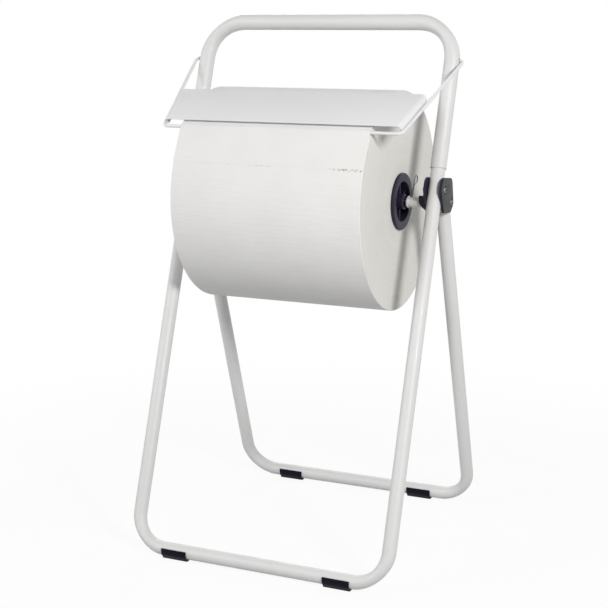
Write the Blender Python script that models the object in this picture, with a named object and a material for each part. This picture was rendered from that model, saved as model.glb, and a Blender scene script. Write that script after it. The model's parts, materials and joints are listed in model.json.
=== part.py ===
"""Floor-standing roll stand: two folding tube frames, a roll on an axle and a tear bar that rests on it.

Metres, +Z up. The front faces -Y and +X is on the right of someone who faces it.
The origin is on the floor, midway between the front bar and the rear bar.
"""
from math import acos, asin, atan2, cos, hypot, pi, radians, sin, sqrt, tan

import bmesh
import bpy
from mathutils import Matrix, Vector

# Floor and frame tubes
STANCE_DEPTH = 0.4272
FRONT_LEAN = radians(19.47)
LOWER_TUBE_DIAMETER = 0.022
LOWER_TUBE_WALL = 0.0015
HANDLE_TUBE_DIAMETER = 0.025
FLOOR_BEND_RADIUS = 0.053
HANDLE_BEND_RADIUS = 0.063
BEND_FLATTEN_SHARE = 0.16
BEND_WIDEN_SHARE = 0.05
HANDLE_RISE = 0.2785
SLEEVE_RISE = 0.0435
SLEEVE_OVERLAP = 0.060
SLIP_FIT = 0.00035
TUBE_SIDES = 20
BEND_STEPS = 6

# General clearances
GAP = 0.0003
CUT_OVERRUN = 0.004
EDGE_BEVEL = 0.0006

# Sleeve screws
SCREW_SHANK_DIAMETER = 0.0042
SCREW_HEAD_DIAMETER = 0.0085
SCREW_HEAD_HEIGHT = 0.0024
SCREW_LENGTH = 0.009
SCREW_RECESS_DIAMETER = 0.003
SCREW_RECESS_DEPTH = 0.0014

# Hinge brackets and their bolts
PIVOT_STATION = 0.5985
PIVOT_SETBACK = 0.0405
FRAME_BOLT_RISE = 0.0103
CHEEK_THICKNESS = 0.0043
INNER_CHEEK_THICKNESS = 0.0032
CHEEK_EDGE_BEVEL = 0.0009
CHEEK_OUTLINE_SHARES = (
    (-0.482, 0.265, 0.48),
    (-0.352, -0.245, 0.33),
    (0.411, -0.742, 0.12),
    (1.116, -0.358, 0.19),
    (1.223, 0.074, 0.17),
    (0.505, 0.780, 0.17),
)
BOLT_DIAMETER = 0.006
BOLT_HEAD_DIAMETER = 0.0105
BOLT_HEAD_HEIGHT = 0.0034
BOLT_DOME = radians(58)
BOLT_DOME_STEPS = 3
BOLT_SOCKET_FLATS = 0.0038
BOLT_SOCKET_DEPTH = 0.0018
COUNTERBORE_DIAMETER = 0.0130
COUNTERBORE_DEPTH = 0.0018
NUT_FLATS = 0.0100
NUT_HEIGHT = 0.0048
NUT_POCKET_DEPTH = 0.0010
BOLT_TAIL = 0.0015
BUSH_WALL = 0.0015
BOLT_STEPS = 16
CHEEK_CORNER_STEPS = 4
OPEN_STOP_GAP = 0.0006

# Axle cups, part of the inner cheeks
AXLE_DROP = 0.0072
AXLE_SETBACK = 0.0179
CUP_DEPTH = 0.0122
CUP_WALL = 0.0038
CUP_LIP_HEIGHT = 0.0120
CUP_CHAMFER_DEPTH = 0.0095
CUP_CHAMFER_HEIGHT = 0.0135

# Feet
FOOT_LENGTH = 0.044
FOOT_SOLE = 0.0022
FOOT_WALL = 0.0018
FOOT_WRAP = radians(112)
FOOT_FLANK = radians(48)
FOOT_BORE_STEPS = 14
FOOT_SOLE_WIDTH = 0.013
FRONT_FOOT_INSET = 0.0005
REAR_FOOT_INSET = 0.0140
REAR_FOOT_SHIFT = -0.0030

# Tube plugs
PLUG_CAP_THICKNESS = 0.0016
PLUG_DEPTH = 0.010
PLUG_SQUEEZE_WALL = 0.0016

# Axle, collars and spring clips
AXLE_DIAMETER = 0.016
AXLE_WALL = 0.0015
AXLE_END_PLAY = 0.0006
AXLE_CAP_THICKNESS = 0.0012
AXLE_CAP_DEPTH = 0.008
COLLAR_LENGTH = 0.0080
COLLAR_WALL = 0.0013
COLLAR_BORE_FIT = 0.0003
CLIP_WIRE_DIAMETER = 0.0018
CLIP_LENGTH = 0.0485
CLIP_LOOP_RADIUS = 0.0060
CLIP_TAIL = 0.0050
CLIP_PINCH = 0.0021
CLIP_LEAN = radians(29)
CLIP_LOOP_TURN = radians(225)
CLIP_HUG_START = radians(69)
CLIP_HUG_END = radians(-36)
CLIP_LOOP_STEPS = 8
CLIP_HUG_STEPS = 6
CLIP_SIDES = 8

# Paper roll, core and flanges
ROLL_DIAMETER = 0.345
ROLL_WIDTH = 0.316
ROLL_OFFSET = -0.004
SIDE_ROOM = 0.057
ROLL_EDGE_RADIUS = 0.0015
CORE_DIAMETER = 0.078
CORE_WALL = 0.004
FLANGE_DIAMETER = 0.090
FLANGE_THICKNESS = 0.0048
FLANGE_EDGE_RADIUS = 0.0018
FLANGE_EDGE_STEPS = 3
FLANGE_MOUTH_BEVEL = 0.0010
FLANGE_DEPTH = 0.034
FLANGE_WALL = 0.0026
FLANGE_WEB = 0.0026
FLANGE_WEB_INSET = 0.0175
FLANGE_TAPER_SHARE = 0.985
HUB_DIAMETER = 0.0240
HUB_BORE_FIT = 0.0003
HUB_TAIL = 0.006
HUB_PROUD = 0.0024
RIB_COUNT = 6
RIB_THICKNESS = 0.0024
RIB_INSET = 0.0055
ROUND_STEPS = 32
ROLL_STEPS = 60

# Tear bar: wire bail, plate and the sheet between them
HOOK_DROP = 0.0625
BAIL_REACH = 0.2129
BAIL_WIRE_DIAMETER = 0.0052
BAIL_STAND_OFF = 0.0070
BAIL_FRONT_INSET = 0.01725
BAIL_RACK = 0.00375
BAIL_HOOK_TUCK = 0.0095
BAIL_HOOK_RADIUS = 0.0085
BAIL_CORNER_RADIUS = 0.0090
BAIL_HOLE_FIT = 0.0015
BAIL_SIDES = 10
BAIL_BEND_STEPS = 5
PLATE_GAUGE = 0.0012
PLATE_FRONT_INSET = 0.0051
PLATE_FRONT_RISE = 0.0098
PLATE_REAR_INSET = 0.0899
PLATE_ROLL_CLEARANCE = 0.0027
PLATE_SIDE_INSET = 0.0022
PLATE_SIDE_RADIUS = 0.0085
PLATE_BEND_STEPS = 5
SHEET_THICKNESS = 0.0006
SHEET_START = 0.092
SHEET_DROP = 0.060
SHEET_SLANT = 0.004
SHEET_STEPS = 10

# Materials: colour, roughness, metallic
WHITE_COAT = ((0.80, 0.80, 0.79), 0.38, 0.0)
BLACK_PLASTIC = ((0.035, 0.031, 0.042), 0.50, 0.0)
ZINC = ((0.62, 0.62, 0.64), 0.28, 1.0)
PAPER = ((0.79, 0.79, 0.77), 0.95, 0.0)
CARDBOARD = ((0.50, 0.38, 0.25), 0.90, 0.0)

# Worked out from the sizes above
tube_radius = LOWER_TUBE_DIAMETER / 2
handle_radius = HANDLE_TUBE_DIAMETER / 2
handle_wall = handle_radius - tube_radius - SLIP_FIT
leg_x = ROLL_WIDTH / 2 + SIDE_ROOM
frame_bolt_station = PIVOT_STATION + FRAME_BOLT_RISE
axle_station = PIVOT_STATION - AXLE_DROP
sleeve_start = PIVOT_STATION + SLEEVE_RISE
sleeve_screw_station = sleeve_start + SLEEVE_OVERLAP / 2
handle_reach = PIVOT_STATION + HANDLE_RISE
hook_station = handle_reach - HOOK_DROP
bar_height = tube_radius + GAP + FOOT_SOLE
pivot_run = PIVOT_STATION * sin(FRONT_LEAN) + PIVOT_SETBACK * cos(FRONT_LEAN)
pivot_rise = PIVOT_STATION * cos(FRONT_LEAN) - PIVOT_SETBACK * sin(FRONT_LEAN)
rear_lean = atan2(STANCE_DEPTH - pivot_run, pivot_rise)
rear_reach = hypot(STANCE_DEPTH - pivot_run, pivot_rise)
fold_angle = FRONT_LEAN + rear_lean
rear_top = (PIVOT_SETBACK - tube_radius * (1 + cos(fold_angle)) - OPEN_STOP_GAP) / sin(fold_angle)
front_bar = Vector((0, -STANCE_DEPTH / 2, bar_height))
axle_radius = AXLE_DIAMETER / 2
roll_radius = ROLL_DIAMETER / 2
bail_radius = BAIL_WIRE_DIAMETER / 2
cheek_inner = tube_radius + GAP
cheek_outer = cheek_inner + CHEEK_THICKNESS
inner_cheek_face = cheek_inner + INNER_CHEEK_THICKNESS
hub_reach = FLANGE_THICKNESS + HUB_PROUD
hook_x = leg_x + handle_radius + BAIL_STAND_OFF
bail_front_x = leg_x - BAIL_FRONT_INSET


def clear_scene():
    for item in list(bpy.data.objects):
        bpy.data.objects.remove(item, do_unlink=True)


def principled(name, look):
    colour, roughness, metallic = look
    material = bpy.data.materials.new(name)
    material.use_nodes = True
    shader = material.node_tree.nodes["Principled BSDF"]
    shader.inputs["Base Color"].default_value = (*colour, 1)
    shader.inputs["Roughness"].default_value = roughness
    shader.inputs["Metallic"].default_value = metallic
    material.diffuse_color = (*colour, 1)
    return material


def empty(name, location, tilt=0):
    """An empty that carries pieces; tilt turns it about X."""
    pivot = bpy.data.objects.new(name, None)
    pivot.location = location
    pivot.rotation_euler = (tilt, 0, 0)
    bpy.context.scene.collection.objects.link(pivot)
    return pivot


def place(name, mesh, look, parent, location=(0, 0, 0), turn=(0, 0, 0)):
    """Link a mesh as an object under its empty, with its own material."""
    mesh.name = name
    mesh.materials.clear()
    mesh.materials.append(principled(name, look))
    piece = bpy.data.objects.new(name, mesh)
    piece.parent = parent
    piece.location = location
    piece.rotation_euler = turn
    bpy.context.scene.collection.objects.link(piece)
    return piece


def finish(shape, smooth_angle=radians(35)):
    """Close, orient and shade a bmesh, and turn it into a mesh."""
    bmesh.ops.remove_doubles(shape, verts=shape.verts, dist=GAP / 100)
    bmesh.ops.recalc_face_normals(shape, faces=shape.faces)
    if shape.calc_volume(signed=True) < 0:
        bmesh.ops.reverse_faces(shape, faces=shape.faces)
    mesh = bpy.data.meshes.new("shape")
    shape.to_mesh(mesh)
    shape.free()
    mesh.shade_smooth()
    mesh.set_sharp_from_angle(angle=smooth_angle)
    return mesh


def revolve(profile, steps):
    """Turn a closed profile of (distance along X, radius) points about the X axis."""
    shape = bmesh.new()
    points = [shape.verts.new((along, 0, radius)) for along, radius in profile]
    edges = [shape.edges.new((a, b)) for a, b in zip(points, points[1:] + points[:1])
             if not (a.co.z == 0 and b.co.z == 0)]
    bmesh.ops.spin(shape, geom=points + edges, cent=(0, 0, 0), axis=(1, 0, 0), angle=2 * pi, steps=steps,
                   use_merge=True)
    return finish(shape)


def sweep(path, radius, sides, squash=None, wall=0):
    """A round bar along a path of points; with a wall it becomes an open tube.

    squash gives, for each point, the scale across the plane of the bend and out of it.
    """
    shape = bmesh.new()
    count = len(path)
    first = (path[1] - path[0]).normalized()
    side = first.orthogonal().normalized() if squash is None else Vector((0, 1, 0))
    skins = []
    for skin_radius in ([radius, radius - wall] if wall else [radius]):
        rings = []
        normal = side
        for index, point in enumerate(path):
            before = path[max(index - 1, 0)]
            after = path[min(index + 1, count - 1)]
            along = (after - before).normalized()
            normal = (normal - along * normal.dot(along)).normalized()
            other = along.cross(normal)
            flat, wide = squash[index] if squash else (1, 1)
            rings.append([shape.verts.new(point + normal * skin_radius * wide * cos(2 * pi * k / sides)
                                          + other * skin_radius * flat * sin(2 * pi * k / sides))
                          for k in range(sides)])
        for ring, following in zip(rings, rings[1:]):
            for k in range(sides):
                shape.faces.new((ring[k], ring[(k + 1) % sides], following[(k + 1) % sides], following[k]))
        skins.append(rings)
    if wall:
        outer, inner = skins
        for end in (0, -1):
            for k in range(sides):
                shape.faces.new((outer[end][k], outer[end][(k + 1) % sides],
                                 inner[end][(k + 1) % sides], inner[end][k]))
    else:
        shape.faces.new(skins[0][0])
        shape.faces.new(skins[0][-1])
    return finish(shape)


def fillet_path(corners, radii, steps):
    """Points of a polyline whose inner corners are rounded by arcs."""
    path = [corners[0]]
    for before, corner, after, radius in zip(corners, corners[1:], corners[2:], radii):
        back = (before - corner).normalized()
        ahead = (after - corner).normalized()
        half = back.angle(ahead) / 2
        radius = min(radius, min((before - corner).length, (after - corner).length) * tan(half) / 2)
        centre = corner + (back + ahead).normalized() * radius / sin(half)
        start = corner + back * radius / tan(half)
        end = corner + ahead * radius / tan(half)
        for step in range(steps + 1):
            share = step / steps
            sweep_angle = (start - centre).angle(end - centre)
            weight_start = sin((1 - share) * sweep_angle) / sin(sweep_angle)
            weight_end = sin(share * sweep_angle) / sin(sweep_angle)
            chord = (start - centre) * weight_start + (end - centre) * weight_end
            path.append(centre + chord)
    path.append(corners[-1])
    return path


def rounded_outline(corners, radii, steps):
    """A closed outline in two coordinates whose corners are rounded by arcs."""
    corners = [Vector((a, b, 0)) for a, b in corners]
    count = len(corners)
    points = []
    for index in range(count):
        three = [corners[index - 1], corners[index], corners[(index + 1) % count]]
        points += fillet_path(three, [radii[index]], steps)[1:-1]
    return [(point.x, point.y) for point in points]


def extrude_along_x(outline, low, high, edge=0):
    """A plate whose outline is given in (Y, Z), from X = low to X = high."""
    shape = bmesh.new()
    face = shape.faces.new([shape.verts.new((low, y, z)) for y, z in outline])
    grown = bmesh.ops.extrude_face_region(shape, geom=[face])
    moved = [item for item in grown["geom"] if isinstance(item, bmesh.types.BMVert)]
    bmesh.ops.translate(shape, verts=moved, vec=(high - low, 0, 0))
    bmesh.ops.recalc_face_normals(shape, faces=shape.faces)
    if edge:
        rims = [item for item in shape.edges
                if abs(item.verts[0].co.x - item.verts[1].co.x) < abs(high - low) / 2]
        bmesh.ops.bevel(shape, geom=rims, offset=edge, segments=1, affect="EDGES")
    return finish(shape, radians(30))


def prism(radius, sides, low, high):
    """A prism about the X axis, from X = low to X = high, for hexagons and round cutters."""
    outline = [(radius * cos(2 * pi * k / sides), radius * sin(2 * pi * k / sides)) for k in range(sides)]
    return extrude_along_x(outline, low, high)


def cut(piece, cutters):
    """Cut shapes out of a piece. Each cutter is (mesh, location, turn) in the piece's own space."""
    tool_mesh = bmesh.new()
    for mesh, location, turn in cutters:
        first_new = len(tool_mesh.verts)
        tool_mesh.from_mesh(mesh)
        tool_mesh.verts.ensure_lookup_table()
        matrix = Matrix.Translation(location) @ turn
        bmesh.ops.transform(tool_mesh, matrix=matrix, verts=tool_mesh.verts[first_new:])
    merged = bpy.data.meshes.new(piece.name + "_cutter")
    tool_mesh.to_mesh(merged)
    tool_mesh.free()
    tool = bpy.data.objects.new(piece.name + "_cutter", merged)
    tool.parent = piece
    tool.hide_render = True
    tool.display_type = "WIRE"
    bpy.context.scene.collection.objects.link(tool)
    modifier = piece.modifiers.new("holes", "BOOLEAN")
    modifier.operation = "DIFFERENCE"
    modifier.solver = "EXACT"
    modifier.object = tool
    return tool


def join(piece, name, mesh, location, turn):
    """Fuse a shape to a piece; the place and the turn are in the piece's own space."""
    body = bpy.data.objects.new(name, mesh)
    body.parent = piece
    body.location = location
    body.rotation_euler = turn
    body.hide_render = True
    body.display_type = "WIRE"
    bpy.context.scene.collection.objects.link(body)
    joined = piece.modifiers.new(name, "BOOLEAN")
    joined.operation = "UNION"
    joined.solver = "EXACT"
    joined.object = body


def front_point(x, station, setback=0):
    """A place on the front frame: station up the leg from the floor bar, setback behind the legs."""
    return front_bar + Vector((x, station * sin(FRONT_LEAN) + setback * cos(FRONT_LEAN),
                               station * cos(FRONT_LEAN) - setback * sin(FRONT_LEAN)))


def u_path(leg_end, bar_level, bend_radius):
    """Points and bend scales of a U-shaped tube in its own upright plane, from one leg end to the other."""
    toward = 1 if leg_end > bar_level else -1
    path = [Vector((-leg_x, 0, leg_end))]
    squash = [(1, 1)]
    for step in range(BEND_STEPS + 1):
        angle = step / BEND_STEPS * pi / 2
        path.append(Vector((-leg_x + bend_radius * (1 - cos(angle)), 0,
                            bar_level + toward * bend_radius * (1 - sin(angle)))))
        bulge = sin(2 * angle) ** 2
        squash.append((1 - BEND_FLATTEN_SHARE * bulge, 1 + BEND_WIDEN_SHARE * bulge))
    mirrored = [Vector((-point.x, 0, point.z)) for point in reversed(path)]
    return path + mirrored, squash + squash[::-1]


def bolt_hole(x, setback, station, diameter, reach):
    """A round cutter along X through a point of the front or rear frame."""
    return prism(diameter / 2, BOLT_STEPS, -reach, reach), Vector((x, setback, station)), Matrix.Identity(4)


def turned_to(direction):
    """A turn that takes the X axis to a direction."""
    return Vector((1, 0, 0)).rotation_difference(Vector(direction)).to_matrix().to_4x4()


def pan_screw(name, parent, location, turn):
    """A pan-head screw whose shank runs along -X from its seat at the origin."""
    head = SCREW_HEAD_DIAMETER / 2
    shank = SCREW_SHANK_DIAMETER / 2
    recess = SCREW_RECESS_DIAMETER / 2
    profile = [
        (-SCREW_LENGTH, 0),
        (-SCREW_LENGTH + shank, shank),
        (0, shank),
        (0, head),
        (SCREW_HEAD_HEIGHT / 2, head),
        (SCREW_HEAD_HEIGHT, head / 2),
        (SCREW_HEAD_HEIGHT, recess),
        (SCREW_HEAD_HEIGHT - SCREW_RECESS_DEPTH, recess),
        (SCREW_HEAD_HEIGHT - SCREW_RECESS_DEPTH, 0),
    ]
    return place(name, revolve(profile, ROUND_STEPS // 2), ZINC, parent, location, turn)


def lower_frame(front):
    """The front U tube, with the bolt holes and the sleeve screw holes."""
    path, squash = u_path(sleeve_start + SLEEVE_OVERLAP, 0, FLOOR_BEND_RADIUS)
    mesh = sweep(path, tube_radius, TUBE_SIDES, squash, LOWER_TUBE_WALL)
    piece = place("front_lower_frame", mesh, WHITE_COAT, front)
    reach = tube_radius + CUT_OVERRUN
    hole_width = BOLT_DIAMETER + 2 * GAP
    cutters = [bolt_hole(side * leg_x, 0, frame_bolt_station, hole_width, reach) for side in (-1, 1)]
    cutters += sleeve_holes()
    cut(piece, cutters)


def sleeve_holes():
    """Cutters for the screw holes in the rear wall of both tubes at the sleeve."""
    hole = prism(SCREW_SHANK_DIAMETER / 2 + GAP, ROUND_STEPS // 2, 0, handle_radius + CUT_OVERRUN)
    rearward = turned_to((0, 1, 0))
    return [(hole, Vector((side * leg_x, 0, sleeve_screw_station)), rearward) for side in (-1, 1)]


def handle_frame(front):
    """The handle: an upside-down U tube that slips over the front legs."""
    path, squash = u_path(sleeve_start, handle_reach, HANDLE_BEND_RADIUS)
    mesh = sweep(path, handle_radius, TUBE_SIDES, squash, handle_wall)
    piece = place("handle_frame", mesh, WHITE_COAT, front)
    hook_hole = prism(bail_radius + BAIL_HOLE_FIT, BAIL_SIDES, 0, handle_radius + CUT_OVERRUN)
    cutters = sleeve_holes()
    for side in (-1, 1):
        cutters.append((hook_hole, Vector((side * leg_x, 0, hook_station)), turned_to((side, 0, 0))))
    cut(piece, cutters)


def sleeve_screws(front):
    """One screw behind each leg locks the handle to the lower tube."""
    for side, label in ((-1, "left"), (1, "right")):
        location = (side * leg_x, handle_radius + GAP, sleeve_screw_station)
        pan_screw("sleeve_screw_" + label, front, location, (0, 0, pi / 2))


def cheek_outline():
    """The lobed outline of a bracket cheek, from the line between its two bolts."""
    spacing = hypot(PIVOT_SETBACK, PIVOT_STATION - frame_bolt_station)
    along = (PIVOT_SETBACK / spacing, (PIVOT_STATION - frame_bolt_station) / spacing)
    across = (-along[1], along[0])
    corners = []
    radii = []
    for along_share, across_share, radius_share in CHEEK_OUTLINE_SHARES:
        corners.append((spacing * (along_share * along[0] + across_share * across[0]),
                        frame_bolt_station + spacing * (along_share * along[1] + across_share * across[1])))
        radii.append(spacing * radius_share)
    return rounded_outline(corners, radii, CHEEK_CORNER_STEPS)


def cheek_bolt_holes(side, outward, face, depth):
    """Stepped cutters for a cheek's two bolts, with pockets in the face away from the tube."""
    shank = BOLT_DIAMETER / 2 + GAP
    pocket = COUNTERBORE_DIAMETER / 2
    start = outward * (cheek_inner - CUT_OVERRUN)
    floor = outward * (face - depth)
    mouth = outward * (face + CUT_OVERRUN)
    profile = [(start, 0), (start, shank), (floor, shank), (floor, pocket), (mouth, pocket), (mouth, 0)]
    places = ((0, frame_bolt_station), (PIVOT_SETBACK, PIVOT_STATION))
    return [(revolve(profile, BOLT_STEPS), Vector((side * leg_x, setback, station)), Matrix.Identity(4))
            for setback, station in places]


def outer_cheek(side, label, front):
    mesh = extrude_along_x(cheek_outline(), side * (leg_x + cheek_inner), side * (leg_x + cheek_outer),
                           CHEEK_EDGE_BEVEL)
    piece = place("bracket_outer_" + label, mesh, BLACK_PLASTIC, front)
    cut(piece, cheek_bolt_holes(side, side, cheek_outer, COUNTERBORE_DEPTH))


def cup_outline(radius, top):
    """A U outline about the axle: half round below, straight above."""
    steps = ROUND_STEPS // 2
    arc = [(radius * cos(pi + pi * k / steps), radius * sin(pi + pi * k / steps)) for k in range(steps + 1)]
    return [(-radius, top)] + arc + [(radius, top)]


def inner_cheek(side, label, front):
    """The inboard cheek carries the open-topped cup that the axle drops into."""
    near = side * (leg_x - cheek_inner)
    far = side * (leg_x - inner_cheek_face)
    plate = extrude_along_x(cheek_outline(), near, far, CHEEK_EDGE_BEVEL)
    piece = place("bracket_inner_" + label, plate, BLACK_PLASTIC, front)
    cup_radius = axle_radius + GAP + CUP_WALL
    buried = INNER_CHEEK_THICKNESS / 2
    cup_end = -side * (buried + CUP_DEPTH)
    cup = extrude_along_x(cup_outline(cup_radius, CUP_LIP_HEIGHT), 0, cup_end, CHEEK_EDGE_BEVEL)
    root = Vector((far + side * buried, AXLE_SETBACK, axle_station))
    join(piece, "cup_" + label, cup, root, (FRONT_LEAN, 0, 0))
    upright = Matrix.Rotation(FRONT_LEAN, 4, "X")
    centre = Vector((far, AXLE_SETBACK, axle_station))
    slot = extrude_along_x(cup_outline(axle_radius + GAP, CUP_LIP_HEIGHT + CUT_OVERRUN),
                           0, -side * (CUP_DEPTH + CUT_OVERRUN))
    cut(piece, [(slot, centre, upright)])
    wide = cup_radius + CUT_OVERRUN
    block = [(-wide, CUT_OVERRUN), (wide, CUT_OVERRUN), (wide, -2 * wide), (-wide, -2 * wide)]
    wedge = extrude_along_x(block, 0, -side * CUP_DEPTH)
    corner = Vector((-side * CUP_DEPTH, 0, CUP_CHAMFER_HEIGHT - cup_radius))
    slope = atan2(CUP_CHAMFER_DEPTH, CUP_CHAMFER_HEIGHT)
    cut(piece, [(wedge, centre + upright @ corner, upright @ Matrix.Rotation(-side * slope, 4, "Y"))])
    cut(piece, cheek_bolt_holes(side, -side, inner_cheek_face, NUT_POCKET_DEPTH))


def bolt(name, side, setback, station, front):
    """A socket button-head bolt from the outer cheek through to the nut."""
    head = BOLT_HEAD_DIAMETER / 2
    shank = BOLT_DIAMETER / 2
    seat = cheek_outer - COUNTERBORE_DEPTH + GAP
    tail = -(inner_cheek_face - NUT_POCKET_DEPTH + GAP + NUT_HEIGHT + BOLT_TAIL)
    dome = [(seat + BOLT_HEAD_HEIGHT * sin(BOLT_DOME * k / BOLT_DOME_STEPS),
             head * cos(BOLT_DOME * k / BOLT_DOME_STEPS)) for k in range(BOLT_DOME_STEPS + 1)]
    profile = [(tail, 0), (tail, shank - EDGE_BEVEL), (tail + EDGE_BEVEL, shank), (seat, shank)] + dome
    profile.append((dome[-1][0], 0))
    profile = [(side * along, radius) for along, radius in profile]
    piece = place(name, revolve(profile, BOLT_STEPS), ZINC, front, (side * leg_x, setback, station))
    socket_floor = side * (dome[-1][0] - BOLT_SOCKET_DEPTH)
    socket_mouth = side * (dome[-1][0] + CUT_OVERRUN)
    low, high = sorted((socket_floor, socket_mouth))
    socket = prism(BOLT_SOCKET_FLATS / sqrt(3), 6, low, high)
    cut(piece, [(socket, Vector((0, 0, 0)), Matrix.Identity(4))])


def nut(name, side, setback, station, front):
    """A hexagon nut, seated in the shallow pocket of the inner cheek."""
    near = -side * (inner_cheek_face - NUT_POCKET_DEPTH + GAP)
    far = near - side * NUT_HEIGHT
    low, high = sorted((near, far))
    mesh = prism(NUT_FLATS / sqrt(3), 6, low, high)
    piece = place(name, mesh, ZINC, front, (side * leg_x, setback, station))
    bore = prism(BOLT_DIAMETER / 2 + GAP, BOLT_STEPS, low - CUT_OVERRUN, high + CUT_OVERRUN)
    cut(piece, [(bore, Vector((0, 0, 0)), Matrix.Identity(4))])


def pivot_bush(name, side, front):
    """A steel sleeve that the rear leg turns on, clamped between the cheeks."""
    inner = BOLT_DIAMETER / 2 + GAP
    outer = inner + BUSH_WALL
    half = tube_radius
    profile = [(-half, inner), (half, inner), (half, outer), (-half, outer)]
    location = (side * leg_x, PIVOT_SETBACK, PIVOT_STATION)
    place(name, revolve(profile, BOLT_STEPS), ZINC, front, location)


def brackets(front):
    for side, label in ((-1, "left"), (1, "right")):
        outer_cheek(side, label, front)
        inner_cheek(side, label, front)
        bolt("frame_bolt_" + label, side, 0, frame_bolt_station, front)
        nut("frame_nut_" + label, side, 0, frame_bolt_station, front)
        bolt("pivot_bolt_" + label, side, PIVOT_SETBACK, PIVOT_STATION, front)
        nut("pivot_nut_" + label, side, PIVOT_SETBACK, PIVOT_STATION, front)
        pivot_bush("pivot_bush_" + label, side, front)


def rear_frame(rear):
    """The rear U tube. Its own origin is on the pivot, with the legs hanging down -Z."""
    path, squash = u_path(rear_top - PLUG_CAP_THICKNESS, -rear_reach, FLOOR_BEND_RADIUS)
    mesh = sweep(path, tube_radius, TUBE_SIDES, squash, LOWER_TUBE_WALL)
    piece = place("rear_frame", mesh, WHITE_COAT, rear)
    hole = BOLT_DIAMETER + 4 * GAP + 2 * BUSH_WALL
    cut(piece, [bolt_hole(side * leg_x, 0, 0, hole, tube_radius + CUT_OVERRUN) for side in (-1, 1)])


def rear_plugs(rear):
    """Plastic plugs close the rear legs, and their corners meet the front legs as the open stop."""
    bore = tube_radius - LOWER_TUBE_WALL - GAP
    sleeve = bore - PLUG_SQUEEZE_WALL
    profile = [
        (PLUG_CAP_THICKNESS, 0),
        (PLUG_CAP_THICKNESS, tube_radius - EDGE_BEVEL),
        (PLUG_CAP_THICKNESS - EDGE_BEVEL, tube_radius),
        (GAP, tube_radius),
        (GAP, bore),
        (-PLUG_DEPTH + EDGE_BEVEL, bore),
        (-PLUG_DEPTH, bore - EDGE_BEVEL),
        (-PLUG_DEPTH, sleeve),
        (-EDGE_BEVEL, sleeve),
        (-EDGE_BEVEL, 0),
    ]
    for side, label in ((-1, "left"), (1, "right")):
        location = (side * leg_x, 0, rear_top - PLUG_CAP_THICKNESS)
        mesh = revolve(profile, TUBE_SIDES)
        place("rear_plug_" + label, mesh, BLACK_PLASTIC, rear, location, (0, -pi / 2, 0))


def foot_mesh():
    """A clip-on foot: it wraps the lower half of the bar and has a flat sole."""
    inner = tube_radius + GAP
    outer = inner + FOOT_WALL
    sole = -inner - FOOT_SOLE
    half_sole = FOOT_SOLE_WIDTH / 2
    bore = [(inner * sin(angle), -inner * cos(angle))
            for angle in (FOOT_WRAP * (1 - 2 * k / FOOT_BORE_STEPS) for k in range(FOOT_BORE_STEPS + 1))]
    lip = FOOT_WRAP - pi / 2
    flank = FOOT_FLANK
    left = [(-outer * cos(lip), outer * sin(lip)),
            (-outer * cos(lip / 2), outer * sin(lip / 2)),
            (-outer, 0),
            (-outer * cos(flank / 2), -outer * sin(flank / 2)),
            (-outer * cos(flank), -outer * sin(flank)),
            (-half_sole, sole + EDGE_BEVEL), (-half_sole + EDGE_BEVEL, sole)]
    outline = bore + left + [(-y, z) for y, z in reversed(left)]
    return extrude_along_x(outline, -FOOT_LENGTH / 2, FOOT_LENGTH / 2)


def feet(front, rear):
    for side, label in ((-1, "left"), (1, "right")):
        straight_end = leg_x - FLOOR_BEND_RADIUS - FOOT_LENGTH / 2
        front_x = side * (straight_end - FRONT_FOOT_INSET)
        rear_x = side * (straight_end - REAR_FOOT_INSET) + REAR_FOOT_SHIFT
        front_place = (front_x, 0, 0)
        rear_place = (rear_x, 0, -rear_reach)
        place("front_foot_" + label, foot_mesh(), BLACK_PLASTIC, front, front_place, (FRONT_LEAN, 0, 0))
        place("rear_foot_" + label, foot_mesh(), BLACK_PLASTIC, rear, rear_place, (-rear_lean, 0, 0))


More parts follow.
